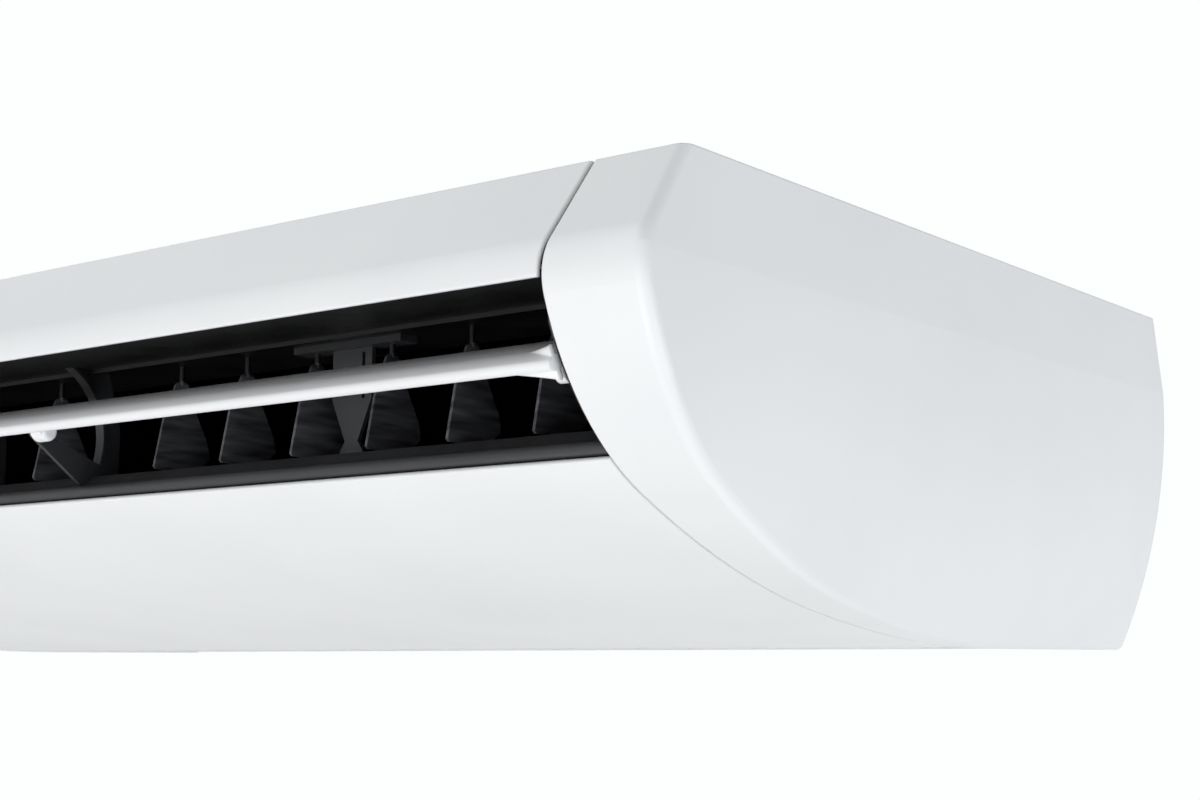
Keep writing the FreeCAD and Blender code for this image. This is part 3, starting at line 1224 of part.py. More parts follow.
def coil_corner(u, v):
    """A corner of the coil's end plate."""
    return leaned_spot(f"{u} * (coil_height / 2 + coil_flange)", f"{v} * (coil_depth / 2 + coil_flange)")


rear_top, front_top = coil_corner(1, -1), coil_corner(1, 1)
edge_loop = [coil_corner(-1, -1), rear_top, (rear_top[0], "-plate_gauge"), (front_top[0], "-plate_gauge"),
             front_top, coil_corner(-1, 1)]
collars = [(*leaned_spot(u, v), "tube_radius + run_gap") for u, v in tube_spots]
feature(body, "Pad", sketch(body, "YZ_Plane", [edge_loop], collars, COIL_HALF), "coil_plate")
left_plate = sketch(body, "YZ_Plane", [edge_loop], collars, mirror_x(COIL_HALF))
feature(body, "Pad", left_plate, "coil_plate", reverse=True)

plate_x = number(f"{COIL_HALF} + coil_plate")
tube = number("tube_radius")
stub = number("tube_stub")


def tube_place(index, row):
    return (index - (TUBES - 1) / 2) * number("tube_pitch"), row * number("coil_depth") / 4


def serpentine():
    """One tube to and fro through both rows, with a half turn outside the plate at the end of each run."""
    order = [(index, ROWS[0]) for index in range(TUBES)]
    order += [(index, ROWS[1]) for index in reversed(range(TUBES))]
    reach, side = plate_x + stub, 1
    edges = []
    for place, (index, row) in enumerate(order):
        u, v = tube_place(index, row)
        begin = leaned(-side * (reach if place else plate_x), u, v)
        last = place == len(order) - 1
        end = leaned(side * (plate_x if last else reach), u, v)
        edges.append(Part.LineSegment(begin, end).toShape())
        if not last:
            after = leaned(end.x, *tube_place(*order[place + 1]))
            top = (end + after) / 2 + Vector(side, 0, 0) * ((after - end).Length / 2)
            edges.append(Part.Arc(end, top, after).toShape())
        side = -side
    ring = Part.Face(Part.Wire(Part.makeCircle(tube, edges[0].Vertexes[0].Point, Vector(1, 0, 0))))
    return Part.Wire(edges).makePipe(ring)


solid("coil_tubes", serpentine())


HEX_SHARE = 1.35   # corners of a union's hexagon, to the radius of its thread
BORE_SHARE = 0.8   # bore of a union, to the radius of its pipe


def pipe_run(radius, thread, line, row):
    """From the lowest coil tube out to the side, back past the fan and into a flare union."""
    u, v = tube_place(0, row)
    begin = leaned(-plate_x, u, v)
    bend = number("pipe_bend")
    end_y = front + number("union_end")
    body_y = end_y - number("union_length") - number("union_hex")
    turn = Vector(-line, begin.y, begin.z)
    p1, p2 = turn + Vector(bend, 0, 0), turn + Vector(0, bend, 0)
    out = Part.makeCylinder(radius, (begin - p1).Length, begin, Vector(-1, 0, 0))
    ring = Part.Face(Part.Wire(Part.makeCircle(radius, p1, Vector(1, 0, 0))))
    elbow = ring.revolve(turn + Vector(bend, bend, 0), Vector(0, 0, 1), -90)
    if elbow.BoundBox.XMin > -line + bend / 2:
        elbow = ring.revolve(turn + Vector(bend, bend, 0), Vector(0, 0, 1), 90)
    run = Part.makeCylinder(radius, body_y - p2.y, p2, Vector(0, 1, 0))
    centre = Vector(-line, body_y, begin.z)
    corners = [math.radians(60 * step) for step in range(7)]
    ring_points = [centre + Vector(math.cos(a), 0, math.sin(a)) * thread * HEX_SHARE for a in corners]
    hexagon = Part.Face(Part.makePolygon(ring_points)).extrude(Vector(0, number("union_hex"), 0))
    face, back = centre + Vector(0, number("union_hex"), 0), Vector(0, 1, 0)
    male = Part.makeCylinder(thread, number("union_length"), face, back)
    bore = Part.makeCylinder(radius * BORE_SHARE, number("union_length"), face, back)
    return out.fuse([elbow, run, hexagon, male]).cut(bore).removeSplitter()


solid("pipe_unions", Part.makeCompound([
    pipe_run(number("gas_radius"), number("gas_thread"), number(GAS_X), 1),
    pipe_run(number("liquid_radius"), number("liquid_thread"), number(LIQUID_X), -1)]))

# Drain pan: a tray along the line of the belly, with walls all round and a spout at the left end.


def drain_pan():
    inset, thick, rim = number("pan_inset"), number("pan_wall"), number("pan_side")
    first, last = (math.radians(number(name)) for name in ("pan_front_angle", "pan_rear_angle"))
    long = number(PAN_HALF)
    block = along_x(strip_face(inset, inset + rim, first, last), -long, long)
    room = strip_face(inset + thick, inset + rim + thick, first - thick / number("belly_radius"),
                      last + thick / number("keel_radius"))
    wings = along_x(strip_face(inset, inset + thick, first, last), -number(PLATE_IN), number(PLATE_IN))
    tray = block.cut(along_x(room, -long + thick, long - thick)).fuse(wings)
    sy, sz = on_line((first + last) / 2, inset + thick + number("spout_radius"))
    spout = cylinder_x(number("spout_radius"), (-long - number("spout_length"), -long), front + sy, sz)
    through = (-long - number("spout_length") - thick, -long + 2 * thick)
    bore = cylinder_x(number("spout_bore"), through, front + sy, sz)
    return tray.fuse(spout).cut(bore).removeSplitter()


solid("drain_pan", drain_pan())

# Plate between coil and fan, with the two discharge openings and a notch for the pipes.

body = start("fan_deck")
deck_x = f"({PLATE_IN})"
deck_plate = [(mirror_x(deck_x), "-deck_foot"), (deck_x, "-deck_foot"), (deck_x, "-plate_gauge"),
              (mirror_x(deck_x), "-plate_gauge")]
half_in = "(scroll_width / 2 - scroll_wall)"
throat_top = "(-fan_axis_drop + scroll_tongue + scroll_growth * 3 - scroll_wall)"
throat_low = "(-fan_axis_drop + scroll_wall)"
loops = [deck_plate]
for side in ("1", "-1"):
    middle = f"{side} * fan_offset"
    loops.append([(f"{middle} - {half_in}", throat_low), (f"{middle} + {half_in}", throat_low),
                  (f"{middle} + {half_in}", throat_top), (f"{middle} - {half_in}", throat_top)])
loops.append(port_loop)
deck_sketch = sketch(body, "XZ_Plane", loops, lift=f"-{at('deck_setback')} - plate_gauge")
feature(body, "Pad", deck_sketch, "plate_gauge")

# Fan scrolls: spiral casings, open to the plate in front, with a round inlet at each side.


def scroll():
    thick = number("scroll_wall")
    cy, cz = number(FAN_Y), -number("fan_axis_drop")
    mouth = front + number("deck_setback") + gauge

    def wrap(inset, mouth_y):
        reach = [number("scroll_tongue") + number("scroll_growth") * k - inset for k in (0, 1, 2, 3)]

        def at_turn(turn):
            part = (turn - math.pi) / (math.pi / 2)
            r = reach[0] + number("scroll_growth") * part
            return Vector(0, cy + r * math.cos(turn), cz + r * math.sin(turn))

        edges = []
        for k in range(3):
            a, b = math.pi * (1 + k / 2), math.pi * (1.5 + k / 2)
            edges.append(Part.Arc(at_turn(a), at_turn((a + b) / 2), at_turn(b)).toShape())
        top, tongue = at_turn(math.pi * 2.5), at_turn(math.pi)
        corner = [top, Vector(0, mouth_y, top.z), Vector(0, mouth_y, tongue.z + inset), Vector(tongue)]
        if inset:
            corner.insert(3, Vector(0, tongue.y, tongue.z + inset))
        edges += [Part.LineSegment(a, b).toShape() for a, b in zip(corner, corner[1:])]
        return Part.Face(Part.Wire(edges))

    side = number("scroll_width") / 2
    outer = along_x(wrap(0.0, mouth), -side, side)
    inner = along_x(wrap(thick, mouth - thick), -side + thick, side - thick)
    eye = cylinder_x(number("scroll_eye"), (-side - 1, side + 1), cy, cz)
    return outer.cut(inner).cut(eye)


shell = scroll()
left_shell, right_shell = shell.copy(), shell.copy()
left_shell.translate(Vector(-number("fan_offset"), 0, 0))
right_shell.translate(Vector(number("fan_offset"), 0, 0))
solid("fan_scrolls", Part.makeCompound([left_shell, right_shell]))

# Fan wheels: a middle disc with a hub, two end rings and forward-leaning blades all round.


def wheel(side):
    """The blades go round the shaft, so they are worked out as one ring and joined to the rest."""
    middle = number(f"{side} * fan_offset")
    y, z = number(FAN_Y), -number("fan_axis_drop")
    wide, ring = number("wheel_width"), number("ring_wall")
    radius, inner = number("wheel_radius"), number("wheel_inner")
    thin, count = number("blade_wall"), int(number("wheel_blades"))
    step = math.radians(number("blade_lean"))

    def tube_of(outside, inside, x):
        return cylinder_x(outside, x, y, z).cut(cylinder_x(inside, (x[0] - 1, x[1] + 1), y, z))

    a = Vector(0, inner + ring / 2, 0)
    b = Vector(0, (radius - ring / 3) * math.cos(step), (radius - ring / 3) * math.sin(step))
    across = Vector(1, 0, 0).cross(b - a)
    across.normalize()
    bow = (a + b) * 0.5 - across * (thin * 2)
    edges = [Part.Arc(a, bow, b).toShape(), Part.LineSegment(b, b + across * thin).toShape(),
             Part.Arc(b + across * thin, bow + across * thin, a + across * thin).toShape(),
             Part.LineSegment(a + across * thin, a).toShape()]
    blade = Part.Face(Part.Wire(edges)).extrude(Vector(wide - ring, 0, 0))
    blade.translate(Vector(-(wide - ring) / 2, 0, 0))
    blades = []
    for index in range(count):
        copy = blade.copy()
        copy.rotate(Vector(), Vector(1, 0, 0), 360.0 * index / count)
        copy.translate(Vector(middle, y, z))
        blades.append(copy)
    ends = [middle + side * (wide - ring) / 2 for side in (-1, 1)]
    parts = [tube_of(radius, inner, (end - ring / 2, end + ring / 2)) for end in ends]
    parts.append(tube_of(number("hub_radius"), number("shaft_radius"),
                         (middle - number("hub_length") / 2, middle + number("hub_length") / 2)))
    disc = tube_of(radius, number("shaft_radius"), (middle - ring / 2, middle + ring / 2))
    return disc.fuse(parts + blades).removeSplitter()


solid("fan_wheel_right", wheel("1"))
solid("fan_wheel_left", wheel("-1"))

body = start("fan_shaft")
rod_end = sketch(body, "YZ_Plane", [], [(FAN_Y, "-fan_axis_drop", "shaft_radius")])
feature(body, "Pad", rod_end, "(fan_offset + wheel_width / 2 + shaft_tail) * 2", both=True)

# Fan motor: a turned can with a bearing boss at each end, held by a strap with two feet.

body = start("fan_motor")
axis = (FAN_Y, "-fan_axis_drop")
bore = axis + ("shaft_radius + run_gap",)
can = sketch(body, "YZ_Plane", [], [axis + ("motor_radius",), bore])
feature(body, "Pad", can, "motor_half * 2", both=True)
feature(body, "Pad", sketch(body, "YZ_Plane", [], [axis + ("motor_boss",), bore]),
        "(motor_half + motor_nose) * 2", both=True)
can_x = number("motor_half")
can_round = number("motor_radius")


def can_rim(edge):
    """Whether an edge is the outer rim at one end of the motor's can."""
    if edge.Curve.TypeId != "Part::GeomCircle":
        return False
    at_end = abs(abs(edge.Vertexes[0].X) - can_x) < near_zero
    return at_end and abs(edge.Curve.Radius - can_round) < near_zero


round_edges(body, can_rim, "motor_nose", "Chamfer")

body = start("fan_motor_clamp")
ring = sketch(body, "YZ_Plane", [], [axis + ("motor_radius + clamp_wall",), axis + ("motor_radius",)])
feature(body, "Pad", ring, "clamp_width", both=True)
for way in ("-", ""):
    foot = f"{FAN_Y} + {way}(clamp_foot)"
    near = f"{FAN_Y} + {way}(motor_radius)"
    low, high = (foot, near) if way == "-" else (near, foot)
    brick(body, "Additive", ("-clamp_width / 2", "clamp_width / 2"), (low, high),
          ("-fan_axis_drop - clamp_wall / 2", "-fan_axis_drop + clamp_wall / 2"))
    low, high = (foot, f"{foot} + clamp_wall") if way == "-" else (f"{foot} - clamp_wall", foot)
    brick(body, "Additive", ("-clamp_width / 2", "clamp_width / 2"), (low, high),
          ("-fan_axis_drop - clamp_wall / 2", "-plate_gauge"))

# Control box under the top plate, with its cover below.

body = start("control_box")
box_x, box_y = (BOX_NEAR, BOX_FAR), (at("box_front"), at("box_rear"))
brick(body, "Additive", box_x, box_y, ("-box_drop", "-plate_gauge"))
brick(body, "Subtractive", (f"{BOX_NEAR} + plate_gauge", f"{BOX_FAR} - plate_gauge"),
      (f"{box_y[0]} + plate_gauge", f"{box_y[1]} - plate_gauge"),
      ("-box_drop - plate_gauge", "-plate_gauge * 2"))

body = start("control_box_cover")
brick(body, "Additive", (f"{BOX_NEAR} - plate_gauge", f"{BOX_FAR} + plate_gauge"),
      (f"{box_y[0]} - plate_gauge", f"{box_y[1]} + plate_gauge"),
      ("-box_drop - plate_gauge", "-box_drop + box_lip"))
brick(body, "Subtractive", box_x, box_y, ("-box_drop", "-box_drop + box_lip * 2"))

# Every object has to be sound before anything is written.

doc.recompute()
for item in doc.Objects:
    if {"Invalid", "Error"} & set(item.State):
        raise RuntimeError(f"{item.Label} ({item.Name}) did not build: {item.State}")
for name, piece in nodes.items():
    if piece.Shape.isNull() or not piece.Shape.isValid() or not piece.Shape.Solids:
        raise RuntimeError(f"{name} is not a sound solid")
os.makedirs("parts", exist_ok=True)
for name, piece in nodes.items():
    piece.Shape.exportStep(f"parts/{name}.step")
    box_of = piece.Shape.BoundBox
    spans = " ".join(f"{span:8.1f}" for span in (box_of.XLength, box_of.YLength, box_of.ZLength))
    print(f"{name:24s} solids {len(piece.Shape.Solids):2d}  {spans}")
print(len(nodes), "pieces")
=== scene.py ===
# %% [markdown]
# # Under-ceiling air conditioner: the looks
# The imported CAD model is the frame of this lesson. Every piece of the unit is already in it, at its real
# size and in its place, but bare: there is no camera, no light and no finish. The lesson adds these, and
# then what the CAD model leaves out or shows less well: the fins of the coil, the skin of one panel and
# the heads of the screws.
#
# The pieces could be modelled again in Blender, but then two models would have to be kept alike. So the
# CAD pieces are dressed where they stand, and a piece is made anew only where it shows more than its solid.

import json
import math

import bmesh
import bpy
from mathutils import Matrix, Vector


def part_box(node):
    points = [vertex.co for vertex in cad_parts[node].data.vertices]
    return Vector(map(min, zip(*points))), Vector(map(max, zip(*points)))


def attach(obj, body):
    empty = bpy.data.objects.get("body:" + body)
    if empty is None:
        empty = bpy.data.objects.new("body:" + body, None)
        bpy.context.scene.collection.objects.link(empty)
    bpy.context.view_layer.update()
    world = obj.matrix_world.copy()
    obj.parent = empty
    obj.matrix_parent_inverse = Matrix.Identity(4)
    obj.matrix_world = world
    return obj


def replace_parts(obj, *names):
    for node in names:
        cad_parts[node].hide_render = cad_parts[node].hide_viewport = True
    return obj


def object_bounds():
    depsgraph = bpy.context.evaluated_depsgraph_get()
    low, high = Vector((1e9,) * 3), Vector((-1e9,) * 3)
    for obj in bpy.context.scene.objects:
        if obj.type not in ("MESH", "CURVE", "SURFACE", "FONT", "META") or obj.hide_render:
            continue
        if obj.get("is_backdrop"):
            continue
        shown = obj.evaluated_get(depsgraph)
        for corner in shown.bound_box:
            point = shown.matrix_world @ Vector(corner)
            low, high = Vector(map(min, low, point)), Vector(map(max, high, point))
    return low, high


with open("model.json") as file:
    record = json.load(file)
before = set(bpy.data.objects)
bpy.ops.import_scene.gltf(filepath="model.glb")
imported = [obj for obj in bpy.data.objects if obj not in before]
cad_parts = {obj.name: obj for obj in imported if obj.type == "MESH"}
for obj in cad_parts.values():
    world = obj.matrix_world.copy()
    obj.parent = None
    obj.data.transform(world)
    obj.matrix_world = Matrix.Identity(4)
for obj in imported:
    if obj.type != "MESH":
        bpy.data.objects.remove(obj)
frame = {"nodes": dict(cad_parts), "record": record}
nodes = frame["nodes"]
cad_box = [list(corner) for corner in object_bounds()]
scene = bpy.context.scene
MM = 0.001

sides = [round((high - low) / MM, 1) for low, high in zip(*cad_box)]
print("pieces in the frame:", len(nodes), "in a box of", sides, "mm")

# %% [markdown]
# ## Camera
# The camera has to stand where the photographer stood, with the same length of lens. Both could be found
# by trial, moving the camera until the edges meet those of the picture. Here they were worked out from the
# edges of the casing, with its height taken as known and the middle of the picture as the middle of the
# lens. The camera stands off the right end, a little below the casing, and looks slightly up.
# The Standard view transform shows a colour as it is written.

# %% Set the camera
CAMERA_PLACE = Vector((1025.2, -1001.1, -241.7)) * MM
CAMERA_YAW = math.radians(37.39)
CAMERA_PITCH = math.radians(7.852)
LEVEL_VIEW = math.pi / 2
LENS_MM = 56.42
SENSOR_MM = 36.0
NEAR_CLIP = 10 * MM

lens = bpy.data.cameras.new("camera")
lens.lens = LENS_MM
lens.sensor_width = SENSOR_MM
lens.clip_start = NEAR_CLIP
camera = bpy.data.objects.new("camera", lens)
camera.location = CAMERA_PLACE
camera.rotation_euler = (LEVEL_VIEW + CAMERA_PITCH, 0.0, CAMERA_YAW)
scene.collection.objects.link(camera)
scene.camera = camera
scene.view_settings.view_transform = "Standard"
print("camera:", LENS_MM, "mm lens,", round(-CAMERA_PLACE.z / MM), "mm below the top of the casing")

# %% [markdown]
# ## Colours and shader nodes
# A screen's colour codes are not amounts of light: a code twice as high gives far more than twice the
# light. Blender reckons in light, so each colour is written as a screen code and turned into linear light
# by one function, with the numbers of the sRGB standard.
# Shader nodes could be wired by hand in the editor. Written as code they can be read and changed, and one
# small function is enough for every kind: it adds a node, makes its settings, and takes for each input
# either a value or the socket of another node.

# %% Colour and node helpers
SRGB_TOE = 0.04045
SRGB_TOE_SLOPE = 12.92
SRGB_OFFSET = 0.055
SRGB_POWER = 2.4
CODE_TOP = 255


def to_light(level):
    """One channel of a screen colour, from 0 to 1, as linear light."""
    if level <= SRGB_TOE:
        return level / SRGB_TOE_SLOPE
    return ((level + SRGB_OFFSET) / (1 + SRGB_OFFSET)) ** SRGB_POWER


def linear(code):
    """A screen colour such as F4F5F6 as linear red, green, blue and alpha."""
    levels = [int(code[place:place + 2], 16) / CODE_TOP for place in (0, 2, 4)]
    return tuple(to_light(level) for level in levels) + (1.0,)


def add(tree, kind, inputs, **settings):
    """One shader node with its settings; each input is a value or a socket to link from."""
    item = tree.nodes.new("ShaderNode" + kind)
    for name, value in settings.items():
        setattr(item, name, value)
    for name, value in inputs.items():
        if isinstance(value, bpy.types.NodeSocket):
            tree.links.new(value, item.inputs[name])
        else:
            item.inputs[name].default_value = value
    return item


print("the screen's middle grey as light:", round(linear("808080")[0], 3))

# %% [markdown]
# ## Surround
# The picture's background is plain white. A large white wall could stand behind the unit, but it would
# show its edges from other sides. Blender's world surrounds everything, so it is used instead. It is white
# to the camera and to whatever mirrors it, which keeps metal bright, and dimmer as a light, so that the
# white plastic keeps its shades.

# %% White surround
SURROUND_LIGHT = 0.44
SURROUND_SEEN = 1.0
SURROUND_WHITE = "FDFFFF"


def surround():
    """A world that is white where it is seen or mirrored, and dimmer where it lights."""
    world = bpy.data.worlds.new("studio")
    world.use_nodes = True
    tree = world.node_tree
    tree.nodes.clear()
    rays = add(tree, "LightPath", {}).outputs
    seen = rays["Is Camera Ray"]
    for kind in ("Is Glossy Ray", "Is Transmission Ray"):
        seen = add(tree, "Math", {0: seen, 1: rays[kind]}, operation="MAXIMUM").outputs["Value"]
    strength = add(tree, "MapRange", {"Value": seen, "To Min": SURROUND_LIGHT, "To Max": SURROUND_SEEN})
    white = {"Color": linear(SURROUND_WHITE), "Strength": strength.outputs["Result"]}
    glow = add(tree, "Background", white)
    add(tree, "OutputWorld", {"Surface": glow.outputs["Background"]})
    scene.world = world


surround()
print("surround: white to the eye,", SURROUND_LIGHT, "of that as a light")

# %% [markdown]
# ## Lamps
# A white casing shows its form only by small steps of light. One strong lamp would throw hard shadows into
# the outlet, and light from all round would flatten the form. So five broad, soft lamps share the work: the
# key in front and a little below, a fill at the right, a weak one behind the right end, one high behind the
# left end for the sides that the picture doesn't show, and a weak one above the left. The one behind the
# left end stands above the unit, because from lower down it would glare on the underside.

# %% Soft lamps
LAMP_TARGET = Vector((350.0, -150.0, -120.0)) * MM
WHITE = "FFFFFF"
COOL_WHITE = "F6FAFF"


def soft_lamp(name, towards, metres, size, watts, colour=COOL_WHITE):
    """A broad lamp that stands off the target in a direction and faces it."""
    data = bpy.data.lights.new(name, "AREA")
    data.shape = "RECTANGLE"
    data.size, data.size_y = size
    data.energy = watts
    data.color = linear(colour)[:3]
    lamp = bpy.data.objects.new(name, data)
    out = Vector(towards).normalized()
    lamp.location = LAMP_TARGET + out * metres
    lamp.rotation_euler = out.to_track_quat("Z", "Y").to_euler()
    scene.collection.objects.link(lamp)
    print("lamp", name, "-", watts, "W at", metres, "m")


soft_lamp("key", towards=(-0.08, -0.85, -0.52), metres=3.0, size=(3.2, 1.6), watts=50.0, colour=WHITE)
soft_lamp("fill_right", towards=(0.88, -0.1, -0.47), metres=3.0, size=(2.4, 1.6), watts=29.0)
soft_lamp("rear_right", towards=(0.75, 0.6, -0.3), metres=1.9, size=(1.2, 1.0), watts=2.6)
soft_lamp("rear_left", towards=(-0.75, 0.62, 0.35), metres=3.0, size=(2.4, 1.6), watts=30.0)
soft_lamp("top_left", towards=(-0.45, -0.5, 0.74), metres=2.2, size=(2.0, 1.2), watts=7.5)

# %% [markdown]
# ## What every finish has
# No real surface is one flat colour. Its tone drifts a little, its gloss drifts, and it has a fine relief
# that breaks up the highlights. Pictures of surfaces could carry this, but each piece would then have to be
# unwrapped. Patterns that Blender works out need none of that: they read the object's own coordinates,
# which are metres here, so a pattern of 5 mm has a scale of one over 0.005. Cloudy noise lies mostly
# between 0.3 and 0.7, so tones and gloss are spread over that band.

# %% Steps of a finish
NOISE_LOW = 0.3
NOISE_HIGH = 0.7
BEVEL_SAMPLES = 6


def scale_of(size_mm):
    """The scale that gives a pattern this size on coordinates in metres."""
    return 1 / (size_mm * MM)


def start_material(name, rough, metallic=0.0):
    """A new material, its node tree, its shader and the object's coordinates."""
    material = bpy.data.materials.new(name)
    material.use_nodes = True
    tree = material.node_tree
    shader = tree.nodes["Principled BSDF"]
    shader.inputs["Roughness"].default_value = rough
    shader.inputs["Metallic"].default_value = metallic
    place = add(tree, "TexCoord", {}).outputs["Object"]
    return material, tree, shader, place


def two_tones(tree, pattern, first, second):
    """A colour that goes from one screen colour to another as the pattern rises."""
    ramp = add(tree, "ValToRGB", {"Fac": pattern})
    low, high = ramp.color_ramp.elements
    low.color = linear(first)
    low.position = NOISE_LOW
    high.color = linear(second)
    high.position = NOISE_HIGH
    return ramp.outputs["Color"]


def uneven_gloss(tree, shader, pattern, gloss):
    """Roughness that drifts from one value to another as the pattern rises."""
    band = {"From Min": NOISE_LOW, "From Max": NOISE_HIGH, "To Min": gloss[0], "To Max": gloss[1]}
    drift = add(tree, "MapRange", {"Value": pattern, **band})
    tree.links.new(drift.outputs["Result"], shader.inputs["Roughness"])


def relief(tree, shader, height, depth_mm, strength, edge_mm=0.0):
    """A fine relief; with an edge given, sharp edges also catch the light as small rounds."""
    inputs = {"Height": height, "Distance": depth_mm * MM, "Strength": strength}
    if edge_mm:
        rounded = add(tree, "Bevel", {"Radius": edge_mm * MM}, samples=BEVEL_SAMPLES)
        inputs["Normal"] = rounded.outputs["Normal"]
    ripple = add(tree, "Bump", inputs)
    tree.links.new(ripple.outputs["Normal"], shader.inputs["Normal"])


MATERIALS = {}
print("a pattern of 5 mm has the scale", scale_of(5.0))

# %% [markdown]
# ## Moulded plastic and paint
# Covers, panels, grilles, louver and air guides are injection-moulded. The steel mould is eroded by sparks,
# which gives every piece a fine grain, and the melt cools unevenly, which leaves a slow drift of tone and
# gloss. Paint on sheet and castings dries with a like skin, only coarser. One plain colour would look like
# paper, so three layers of noise give the drift of tone, the drift of gloss and the grain.
# Each material is filed under the slot that the CAD record gives to its pieces.

# %% Moulded finish
TONE_DRIFT_MM = 140.0
GLOSS_DRIFT_MM = 18.0
# A spark grain is near 0.1 mm, too fine to show, so it is drawn coarser.
GRAIN_MM = 0.6
GRAIN_DEPTH_MM = 0.02
GRAIN_STRENGTH = 0.35


def moulded(name, first, second, gloss, grain_mm=GRAIN_MM, depth_mm=GRAIN_DEPTH_MM, edge_mm=0.0):
    """Injection-moulded plastic, or paint with a grain of its own."""
    material, tree, shader, place = start_material(name, gloss[0])
    tone = add(tree, "TexNoise", {"Vector": place, "Scale": scale_of(TONE_DRIFT_MM)}).outputs["Fac"]
    drift = add(tree, "TexNoise", {"Vector": place, "Scale": scale_of(GLOSS_DRIFT_MM)}).outputs["Fac"]
    grain = add(tree, "TexNoise", {"Vector": place, "Scale": scale_of(grain_mm)}).outputs["Fac"]
    tree.links.new(two_tones(tree, tone, first, second), shader.inputs["Base Color"])
    uneven_gloss(tree, shader, drift, gloss)
    relief(tree, shader, grain, depth_mm, GRAIN_STRENGTH, edge_mm)
    print("moulded or painted:", name)
    return material


# Satin white ABS of the casing and the louver: broad soft highlights, no mirror image, rounded edges.
MATERIALS["white_abs"] = moulded("white_satin_abs", "F1F2F4", "F5F6F7", (0.36, 0.44), edge_mm=1.6)

# Black plastic of the upper guide, cheeks, scrolls and fan wheels: it swallows light, so the outlet is deep.
MATERIALS["black_plastic"] = moulded("black_moulded_plastic", "050506", "08080A", (0.38, 0.5))

# Dark grey plastic of the lower guide: its rolled lip catches one soft line of light.
MATERIALS["grey_plastic"] = moulded(
    "dark_grey_moulded_plastic", "2A2A2C", "323234", (0.36, 0.48), edge_mm=0.6)

# Black paint on the steel end plates: dull, with the coarser skin of sprayed paint. Its black is also
# painted shade, which keeps the seams beside the end covers dark.
MATERIALS["black_sheet"] = moulded(
    "black_painted_steel_seam_shade", "0A0A0B", "0F0F10", (0.4, 0.5), grain_mm=1.2, depth_mm=0.03)

# Paint on the can of the fan motor: a dark grey with a thick, pebbled skin.
MATERIALS["motor_can"] = moulded(
    "black_motor_paint", "1E1F21", "292A2C", (0.4, 0.5), grain_mm=1.8, depth_mm=0.06)

# Charcoal plastic of the posts and stays in the outlet: even and matt, a little lighter than the guides.
PLAIN_CHARCOAL = moulded("charcoal_moulded_plastic", "2B2C2F", "36373A", (0.36, 0.48))

# %% [markdown]
# ## Streaked plastic of the vanes
# The upright vanes are thin blades of plastic filled with glass fibre. The fibres line up as the melt runs
# into the mould, and the flow stays visible as slanted streaks, whose pale ones are also a painted sheen.
# They could be painted on, but noise that is stretched and turned gives the same streaks on all thirteen
# blades. The pins that the blades hang from are the same plastic, but above the blades the colour turns to
# black: painted shade, so that the pins don't show against the dark guide.

# %% Vane plastic
STREAK_MM = 5.0
STREAK_SLANT = math.radians(26.0)
STREAK_STRETCH = (1.0, 0.12, 1.0)
# Drawn coarser than the real grain, which is too fine to show.
VANE_GRAIN_MM = 0.5
VANE_GRAIN_STRENGTH = 0.4
VANE_TOP_DROP = 71.5 * MM
# Black for the pins: painted shade, so that the pins sink into the dark of the guide.
PIN_SHADE_BLACK = "0A0A0B"


def streaked(name, first, second, gloss):
    """Glass-filled plastic whose flow shows as slanted streaks, the pale ones also a painted sheen; black
    painted shade on the pins above the blades.
    """
    material, tree, shader, place = start_material(name, gloss[0])
    slant = {"Vector": place, "Rotation": (STREAK_SLANT, 0.0, 0.0), "Scale": STREAK_STRETCH}
    slanted = add(tree, "Mapping", slant).outputs["Vector"]
    # The pale streaks are flow marks, and also a painted sheen.
    streaks = add(tree, "TexNoise", {"Vector": slanted, "Scale": scale_of(STREAK_MM)}).outputs["Fac"]
    grain = add(tree, "TexNoise", {"Vector": place, "Scale": scale_of(VANE_GRAIN_MM)}).outputs["Fac"]
    height = add(tree, "SeparateXYZ", {"Vector": place}).outputs["Z"]
    # Above the blades, on the pins, the colour is painted shade.
    pin_shade = add(tree, "Math", {0: height, 1: -VANE_TOP_DROP}, operation="GREATER_THAN").outputs["Value"]
    blade = two_tones(tree, streaks, first, second)
    colour = add(tree, "MixRGB", {"Fac": pin_shade, "Color1": blade, "Color2": linear(PIN_SHADE_BLACK)})
    tree.links.new(colour.outputs["Color"], shader.inputs["Base Color"])
    uneven_gloss(tree, shader, streaks, gloss)
    relief(tree, shader, grain, GRAIN_DEPTH_MM, VANE_GRAIN_STRENGTH)
    print("streaked:", name)
    return material


# Glass-filled charcoal plastic of the vanes: pale and dark streaks that lean with the flow of the melt,
# the pale ones also a painted sheen, and black painted shade on the pins.
MATERIALS["charcoal_plastic"] = streaked("charcoal_filled_plastic", "2C2D30", "6A6B70", (0.32, 0.46))

# %% [markdown]
# ## Galvanised sheet
# Top plate, rear panel, brackets and control box are steel sheet that was drawn through molten zinc. As the
# zinc sets it grows crystals, which show as patches that differ a little in grey and in gloss. Noise would
# give clouds without edges. Voronoi cells have the straight borders of crystals that met as they grew.

# %% Zinc finish
SPANGLE_MM = 7.0
ZINC_GLOSS = (0.38, 0.46)
ZINC_RIPPLE_MM = 1.5
ZINC_DEPTH_MM = 0.02
ZINC_STRENGTH = 0.25


